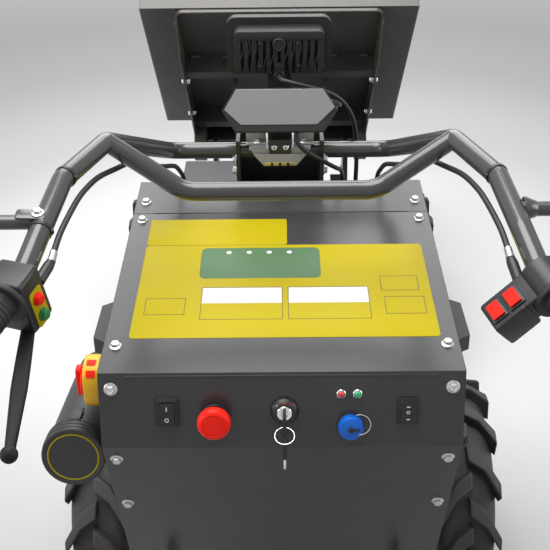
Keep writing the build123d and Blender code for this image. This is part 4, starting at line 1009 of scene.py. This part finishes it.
class DUMPER_OT_hand_controls(bpy.types.Operator):
    """Makes the hand controls, ribbed grips and brake lever at the handlebar's ends"""

    bl_idname = "dumper.hand_controls"
    bl_label = "Hand controls"

    def grip(self, way, pitch):
        """Ribbed sleeve with a flange, closed at its far end."""
        outline = [(0, 29), (26, 29), (26.5, 31), (26.5, 33.5), (25.5, 35), (18, 35.5), (17, 38)]
        start = 40.0
        while start + pitch < 146:
            outline += [(16.2, start), (16.2, start + 0.3 * pitch), (17.2, start + 0.5 * pitch),
                        (17.2, start + 0.85 * pitch)]
            start += pitch
        outline += [(16.4, 148), (15.6, 151.5), (13, 153.6), (0, 154)]
        return turned(outline, on_grip(way, 0), 36)

    def execute(self, context):
        pitch = context.scene.dumper_sizes.grip_rib / MM
        fit([self.grip(way, pitch) for way in (-1, 1)], "ribbed_grips", "grip_rubber", "grip_rubber",
            replaces=("grips",))
        left, right = (on_grip(way, POD_START) for way in (-1, 1))
        lobe = turned_to(right, 44)
        shells = [slab(46, 70, POD_LEN, shifted(left, -1, -15), 4.0, 6.0, 3),
                  turned([(0, 0), (20, 0), (22, 2), (22, 36), (20, 38), (0, 38)], right, 40),
                  slab(70, 32, POD_LEN, shifted(lobe, -36), 3.0, 5.0, 3),
                  slab(40, 42, 3.0, shifted(lobe, -50, 0, 36.5), 1.0, 4.0)]
        fit(shells, "control_housings", *SWITCH, replaces=("control_pods",))
        key_plate = turned_to(shifted(left, 22, -23.5, 19), 90, "Y")
        fit(slab(22, 48, 1.0, key_plate, 0.3, 4.0), "button_plate", *LABEL_YELLOW)
        dome = [(0, 0), (7.4, 0), (7.4, 2.2), (6, 2.6), (6, 5.2), (5, 6.6), (0, 7)]
        for down, colour in ((12, "red"), (35, "green")):
            place = turned_to(shifted(left, 22.6, -down, 19), 90, "Y")
            fit(turned(dome, place, 30), f"thumb_button_{colour}", f"signal_{colour}", f"signal_{colour}",
                replaces=(f"pod_button_{colour}",))
        tops = [turned_to(shifted(lobe, -reach, 16, 19), -90, "X") for reach in (36, 58)]
        frames = [slab(19, 24, 2.0, top, 0.6, 1.5) for top in tops]
        caps = [see_saw(14, 19, 3.6, 1.4, shifted(top, z=1.4)) for top in tops]
        fit(caps, "thumb_rockers", *RED, replaces=("pod_rockers",))
        fit(frames, "thumb_rocker_frames", *SWITCH)
        self.add_lever(left)
        return {"FINISHED"}

    def add_lever(self, left):
        """Flat blade from the left housing to a ball at its tip."""
        hinge = shifted(left, 0, -54, POD_LEN / 2)
        start = hinge.translation / MM
        end = Vector((-250.0, CONSOLE_REAR_Y - 256.0, 893.0))
        run = end - start
        place = frame_at(start, run.cross(Vector((0, 0, 1))).cross(run), run)
        reach = run.length
        edge = [(-8, 7), (12, 7.4), (0.35 * reach, 8.2), (0.55 * reach, 8.4), (0.8 * reach, 6.4),
                (reach, 4.8)]
        blade = plate([(x, -y) for x, y in edge] + edge[::-1], 10.0, shifted(place, z=-5.4), 3.6)
        ball = []
        for i in range(13):
            turn = math.pi * (i / 12 - 0.5)
            ball.append((8.5 * math.cos(turn) if 0 < i < 12 else 0.0, 8.5 * math.sin(turn)))
        pieces = [blade, slab(17, 17, 8.5, shifted(turned_to(hinge, 90, "X"), z=-4.0), 1.5, 2.0),
                  turned(ball, frame_at(end, run), 28)]
        fit(pieces, "brake_handle", "lever_coat", "lever_black", replaces=("brake_lever",))


class DUMPER_OT_bar_fittings(bpy.types.Operator):
    """Puts the tie bands, ferrules, clamp and weld collar on the handlebar"""

    bl_idname = "dumper.bar_fittings"
    bl_label = "Handlebar fittings"

    def execute(self, context):
        bands = []
        ties = ((-1, APEX, ARM_HIGH, 0.93), (1, APEX, ARM_HIGH, 0.97), (-1, ARM_HIGH, ARM_MID, 0.97))
        for way, start, end, share in ties:
            place = on_arm(way, start, end, share)
            bands.append(ring(12.4, 13.6, -2.2, 2.2, place, 36))
            bands.append(slab(6, 5, 5, shifted(turned_to(place, 90 * way), y=12.6, z=-2.5), 0.8))
        boots = []
        for start, end in (((-247, -25, 966), (-256, -52, 957)), ((247, -25, 966), (252, -51, 953))):
            a, b = (Vector((x, CONSOLE_REAR_Y + y, z)) for x, y, z in (start, end))
            length = (b - a).length
            outline = [(0, 0), (4.2, 0), (5.6, 3), (6.2, 8), (6.2, length), (0, length)]
            boots.append(turned(outline, frame_at(a, b - a), 24))
        fit(bands + boots, "cable_ties", *SWITCH)
        collar = turned([(8.4, 0), (14, 0), (14, 3), (11.5, 8), (9.4, 14), (8.4, 15)],
                        frame_at((273, CONSOLE_REAR_Y + 46, 989), (1, 0, 0)), 28)
        lug = slab(34, 17, 7, frame_at((-276, CONSOLE_REAR_Y + 27, 992), (0.05, -0.2, 1.0)), 1.6, 5.0)
        fit([collar, lug], "bar_collars", "bar_paint", "body_paint")
        bolt = copies(bolt_pattern(0.9), [frame_at((-268, CONSOLE_REAR_Y + 26, 999), (0.05, -0.2, 1.0))])
        ends = []
        for way in (-1, 1):
            run = Vector((-way * 1.0, 21.0, 6.0))
            ends.append(turned([(3.4, -1), (4.9, -1), (4.9, 3), (4.4, 3.6), (4.4, 14), (3.4, 14)],
                               frame_at((way * 247, CONSOLE_REAR_Y - 25, 966), run), 20))
        fit([bolt] + ends, "bar_plated_fittings", *ZINC)
        return {"FINISHED"}


class DUMPER_OT_display(bpy.types.Operator):
    """Makes the display's window, plated plates, saddle edge with its slots as painted shade, and screws"""

    bl_idname = "dumper.display"
    bl_label = "Display"

    WINDOW = ((-81, 1), (-63.5, 30.5), (63.5, 30.5), (81, 4), (55, -21), (-57, -21))
    BEZEL = ((-57, -21), (55, -21), (63, -13.5), (70, -20), (62.5, -30.8), (-62.5, -30.8), (-70, -20),
             (-65, -13))

    def execute(self, context):
        window = plate(self.WINDOW, 2.0, on_display(0, 0), 0.5)
        fit(window, "display_window", "display_window", "display_glass", replaces=("display_screen",))
        bezel = plate(self.BEZEL, 1.0, on_display(0, 0), 0.3)
        fit(bezel, "display_bezel", "lamp_casting", "switch_black")
        y = FRONT_TUBE.y
        z = FRONT_TUBE.z + TUBE_R + 3.2
        wings = []
        for way in (-1, 1):
            wings.append(slab(30, 17, 2.4, frame_at((way * 36, y - 5, z + 9), (0, -1, 0.05)), 0.5))
            wings.append(slab(30, 26, 1.6, frame_at((way * 36, y - 6, z), (0, 0, 1)), 0.4))
        flap = plate([(-24, 0), (24, 0), (40, 19), (-40, 19)], 1.0,
                     frame_at((0, y - 34.2, z - 27), (0, -1, 0)), 0.2)
        fit(wings + [flap], "saddle_plates", "satin_zinc", "zinc_steel")
        edge = slab(46, 6, 1.4, frame_at((0, y - 34.4, z - 23.5), (0, -1, 0)), 0.3)
        fit(edge, "saddle_edge", "passivated_zinc", "zinc_steel")
        # The saddle edge's three slots are painted shade: dark marks on its front.
        notches = [slab(4, 6, 0.5, frame_at((x, y - 35.7, z - 24.2), (0, -1, 0)), 0.1) for x in (-12, 0, 12)]
        tab = slab(33, 22, 3.0, frame_at((0, y - 30.8, z + 3), (0, -1, 0.1)), 0.8, 2.0)
        fit(notches + [tab], "strap_tab", *BLACK)
        places = [frame_at((x, y - 34.0, z + 2.5), (0, -1, 0.1)) for x in (-8.5, 8.5)]
        fit(copies(screw_pattern(4.6), places), "strap_screws", "bright_plate", "zinc_steel")
        # The screws' cross slots are painted shade: dark crosses on the heads.
        fit(copies(slot_shade_pattern(4.6), places), "strap_screw_slots", "ink_and_slot_shade", "zinc_steel")
        nuts = [frame_at((way * 34, y - 10, z + 1.6), (0, 0, 1)) for way in (-1, 1)]
        fit(copies(bolt_pattern(0.9), nuts), "saddle_bolts", *ZINC)
        return {"FINISHED"}


class DUMPER_OT_floodlight(bpy.types.Operator):
    """Dresses the floodlight: waved fins, screws, boss, gland and the lamp board behind its lens"""

    bl_idname = "dumper.floodlight"
    bl_label = "Floodlight"

    FIN_STEP = 9.6
    FINS_A_SIDE = 6
    FIN_CUT = 6.6
    WAVE = 4.0
    WAVE_TURN = 95.0  # radians a metre

    def fin(self, x):
        """One upright fin that waves from side to side on its way down."""
        def waved(index, point):
            return point + Vector((self.WAVE * MM * math.sin(point.y * self.WAVE_TURN), 0, 0))

        piece = slab(2.2, 52, 13)
        with editing(piece):
            for cut in range(-3, 4):
                bpy.ops.mesh.select_all(action="SELECT")
                bpy.ops.mesh.bisect(plane_co=(0, cut * self.FIN_CUT * MM, 0), plane_no=(0, 1, 0))
            move_points(piece, waved)
        round_edges(piece, 0.5)
        return settle(piece, on_light(x, -8, -12.4))

    def execute(self, context):
        fins = [self.fin(i * self.FIN_STEP) for i in range(-self.FINS_A_SIDE, self.FINS_A_SIDE + 1) if i]
        band = slab(134, 15, 4.0, on_light(0, 24.5, -3.0), 1.5, 5.0)
        boss = turned([(0, -4), (10, -4), (10, 2.4), (9, 3.4), (7.6, 3.4), (7.2, 2.4), (0, 2.4)],
                      on_light(0, 12), 32)
        gland = turned([(0, 0), (8, 0), (8, 5), (7, 6), (0, 6)], on_light(0, -34, 1), 6)
        fit(fins + [band, boss, gland], "light_fins", *CASTING)
        places = [on_light(x, y, 0.4) for x in (-29, 29) for y in (13, -22)]
        fit(copies(screw_pattern(3.0), places), "light_screws", *CASTING)
        front = shifted(turned_to(on_light(0, 0), 180, "Y"), z=LIGHT_DEPTH)
        board = slab(136, 64, 0.6, front, 0.1, 8.0)
        fit(board, "lamp_board", "reflector", "bright_steel")
        chips = [slab(9, 9, 0.5, shifted(front, x, y, 0.5), 0.1, 0.8)
                 for x in range(-50, 51, 20) for y in (-20, 0, 20)]
        fit(chips, "lamp_chips", "led_phosphor", "isolator_yellow")
        return {"FINISHED"}


class DUMPER_OT_tub_fittings(bpy.types.Operator):
    """Adds the cylinder pin's washers and cotter, the weld beads and the front plate under the tub"""

    bl_idname = "dumper.tub_fittings"
    bl_label = "Tub fittings"

    def execute(self, context):
        pin = on_tub(0, 235, 12, (1, 0, 0))
        washers = [ring(9.9, 17, x, x + 2.2, pin, 32) for x in (108.4, 112, 119)]
        head = turned([(0, 139), (10.4, 139), (10.4, 141.4), (9, 142.4), (0, 142.4)], pin, 28)
        cotter = [slab(1.8, 34, 1.8, shifted(turned_to(pin, turn), z=132), 0.5) for turn in (35, 55)]
        far = ring(9.9, 15, -117, -109, pin, 32)
        fit(washers + cotter + [head, far], "pin_hardware", "bright_plate", "zinc_steel", "tub")
        bead = turned([(0, -11), (2.6, -9), (3.4, 0), (2.6, 9), (0, 11)], steps=12)
        places = [on_tub(x, behind, 79, (1, 0, 0))
                  for x in (-190, -120, -50, 50, 120, 190) for behind in (335.5, 302.5)]
        places += [on_tub(way * 219, behind, 79, (0, 1, 0))
                   for way in (-1, 1) for behind in (480, 400, 220, 160)]
        fit(copies(bead, places), "weld_beads", "tub_paint", "body_paint", "tub")
        front = [slab(400, 76, 4, on_tub(0, -30, 69, (0, -1, 0)), 1.2),
                 slab(400, 16, 3, on_tub(0, -22, 32, (0, 0, 1)), 1.0)]
        fit(front, "subframe_front_plate", "black_paint", "body_paint", "tub")
        return {"FINISHED"}


class DUMPER_OT_stage(bpy.types.Operator):
    """Sets the camera, the pale floor, the even surrounding light and the soft lamps"""

    bl_idname = "dumper.stage"
    bl_label = "Stage"

    def execute(self, context):
        stage = context.scene.dumper_stage
        context.scene.view_settings.view_transform = "Standard"
        self.add_camera(context, stage)
        self.add_floor()
        self.add_world(context, stage)
        self.add_lamps(context, stage)
        return {"FINISHED"}

    def add_camera(self, context, stage):
        ahead = Vector((-math.sin(stage.yaw) * math.cos(stage.pitch),
                        math.cos(stage.yaw) * math.cos(stage.pitch), -math.sin(stage.pitch)))
        level = Vector((math.cos(stage.yaw), math.sin(stage.yaw), 0.0))
        down = ahead.cross(level)
        right = level * math.cos(stage.roll) + down * math.sin(stage.roll)
        up = right.cross(ahead)
        turn = Matrix((right, up, -ahead)).transposed().to_4x4()
        lens = bpy.data.cameras.new("photo_camera")
        lens.sensor_width = SENSOR_MM
        lens.lens = SENSOR_MM * stage.focal_px / IMAGE_PX
        camera = bpy.data.objects.new("photo_camera", lens)
        context.collection.objects.link(camera)
        camera.matrix_world = Matrix.Translation(stage.camera_at) @ turn
        context.scene.camera = camera

    def add_floor(self):
        clear_selection()
        bpy.ops.mesh.primitive_plane_add(size=FLOOR_SIZE)
        floor = bpy.context.active_object
        floor.name = "studio_floor"
        material, tree, shader = bare_material("studio_floor")
        place = object_place(tree)
        away = add_node(tree, "ShaderNodeVectorMath", {0: place, 1: FLOOR_MIDDLE}, operation="DISTANCE")
        distance = away.outputs["Value"]
        # The ramp of greys is painted light: a pool that is brightest under the machine and darkens outwards.
        reach = FLOOR_GREYS[1][0]
        ramp = add_node(tree, "ShaderNodeValToRGB", {0: math_node(tree, "DIVIDE", distance, reach)})
        ramp.color_ramp.interpolation = "EASE"
        stops = ramp.color_ramp.elements
        for index, (far, grey) in enumerate(FLOOR_GREYS):
            stop = stops[index] if index < 2 else stops.new(far / reach)
            stop.color = (grey, grey, grey, 1.0)
        cloud = math_node(tree, "MULTIPLY", noise(tree, place, 1.5, 3.0), 0.03)
        glow = add_node(tree, "ShaderNodeMapRange", {"Value": distance, **FLOOR_GLOW})
        feed(tree, shader, {
            "Base Color": mix_colour(tree, cloud, ramp.outputs[0], (1, 1, 1, 1)),
            "Emission Strength": math_node(tree, "MULTIPLY", glow.outputs[0], self.seen_rays(tree)),
            "Emission Color": (1.0, 1.0, 1.0, 1.0), "Roughness": 0.9, "Specular IOR Level": 0.1})
        paint(floor, material)

    def seen_rays(self, tree):
        """1 for rays that show the background: seen directly, mirrored or through glass."""
        path = add_node(tree, "ShaderNodeLightPath").outputs
        mirrored = math_node(tree, "MAXIMUM", path["Is Glossy Ray"], path["Is Transmission Ray"])
        return math_node(tree, "MAXIMUM", path["Is Camera Ray"], mirrored)

    def add_world(self, context, stage):
        world = bpy.data.worlds.new("studio_light")
        world.use_nodes = True
        tree = world.node_tree
        tree.nodes.clear()
        strength = math_node(tree, "MULTIPLY_ADD", self.seen_rays(tree), stage.backdrop - stage.ambient,
                             stage.ambient)
        even = add_node(tree, "ShaderNodeBackground", {"Color": SKY_TINT, "Strength": strength})
        add_node(tree, "ShaderNodeOutputWorld", {0: even.outputs[0]})
        context.scene.world = world

    def add_lamps(self, context, stage):
        rows = (("overhead_softbox", (-0.5, -0.3, 3.5), (0.0, 0.0, 0.4), 2.4, stage.key_power),
                ("far_softbox", (0.0, 3.6, 3.4), (0.0, -0.4, 0.8), 3.2, stage.far_power),
                ("left_softbox", (-3.2, -1.6, 1.9), (0.0, -0.2, 0.5), 1.8, stage.fill_power),
                ("right_softbox", (3.2, -0.8, 1.9), (0.0, 0.0, 0.5), 1.8, stage.fill_power))
        for name, place, target, size, power in rows:
            light = bpy.data.lights.new(name, "AREA")
            light.shape = "SQUARE"
            light.size = size
            light.energy = power
            lamp = bpy.data.objects.new(name, light)
            context.collection.objects.link(lamp)
            lamp.location = place
            lamp.rotation_euler = (Vector(target) - Vector(place)).to_track_quat("-Z", "Y").to_euler()


class DUMPER_PT_panel(bpy.types.Panel):
    """Lists the dressing steps and their values"""

    bl_label = "Tipping Dumper"
    bl_idname = "DUMPER_PT_panel"
    bl_space_type = "VIEW_3D"
    bl_region_type = "UI"
    bl_category = "Dumper"

    def draw(self, context):
        layout = self.layout
        for step in STEPS:
            layout.operator(step.bl_idname)
        for group in (context.scene.dumper_finishes, context.scene.dumper_sizes, context.scene.dumper_stage):
            box = layout.box()
            for key in group.__annotations__:
                box.prop(group, key)


STEPS = (DUMPER_OT_stage, DUMPER_OT_finishes, DUMPER_OT_leads, DUMPER_OT_tyres, DUMPER_OT_bolts,
         DUMPER_OT_console_trim, DUMPER_OT_panel_switches, DUMPER_OT_stop_button, DUMPER_OT_key_switch,
         DUMPER_OT_lamps, DUMPER_OT_isolator, DUMPER_OT_hand_controls, DUMPER_OT_bar_fittings,
         DUMPER_OT_display, DUMPER_OT_floodlight, DUMPER_OT_tub_fittings)
GROUPS = {"dumper_finishes": DumperFinishes, "dumper_sizes": DumperSizes, "dumper_stage": DumperStage}


def register():
    for key, group in GROUPS.items():
        bpy.utils.register_class(group)
        setattr(bpy.types.Scene, key, PointerProperty(type=group))
    for item in STEPS + (DUMPER_PT_panel,):
        bpy.utils.register_class(item)


def unregister():
    for item in (DUMPER_PT_panel,) + STEPS[::-1]:
        bpy.utils.unregister_class(item)
    for key, group in GROUPS.items():
        delattr(bpy.types.Scene, key)
        bpy.utils.unregister_class(group)


def main():
    register()
    for step in STEPS:
        family, verb = step.bl_idname.split(".")
        getattr(getattr(bpy.ops, family), verb)()


if __name__ == "__main__":
    main()
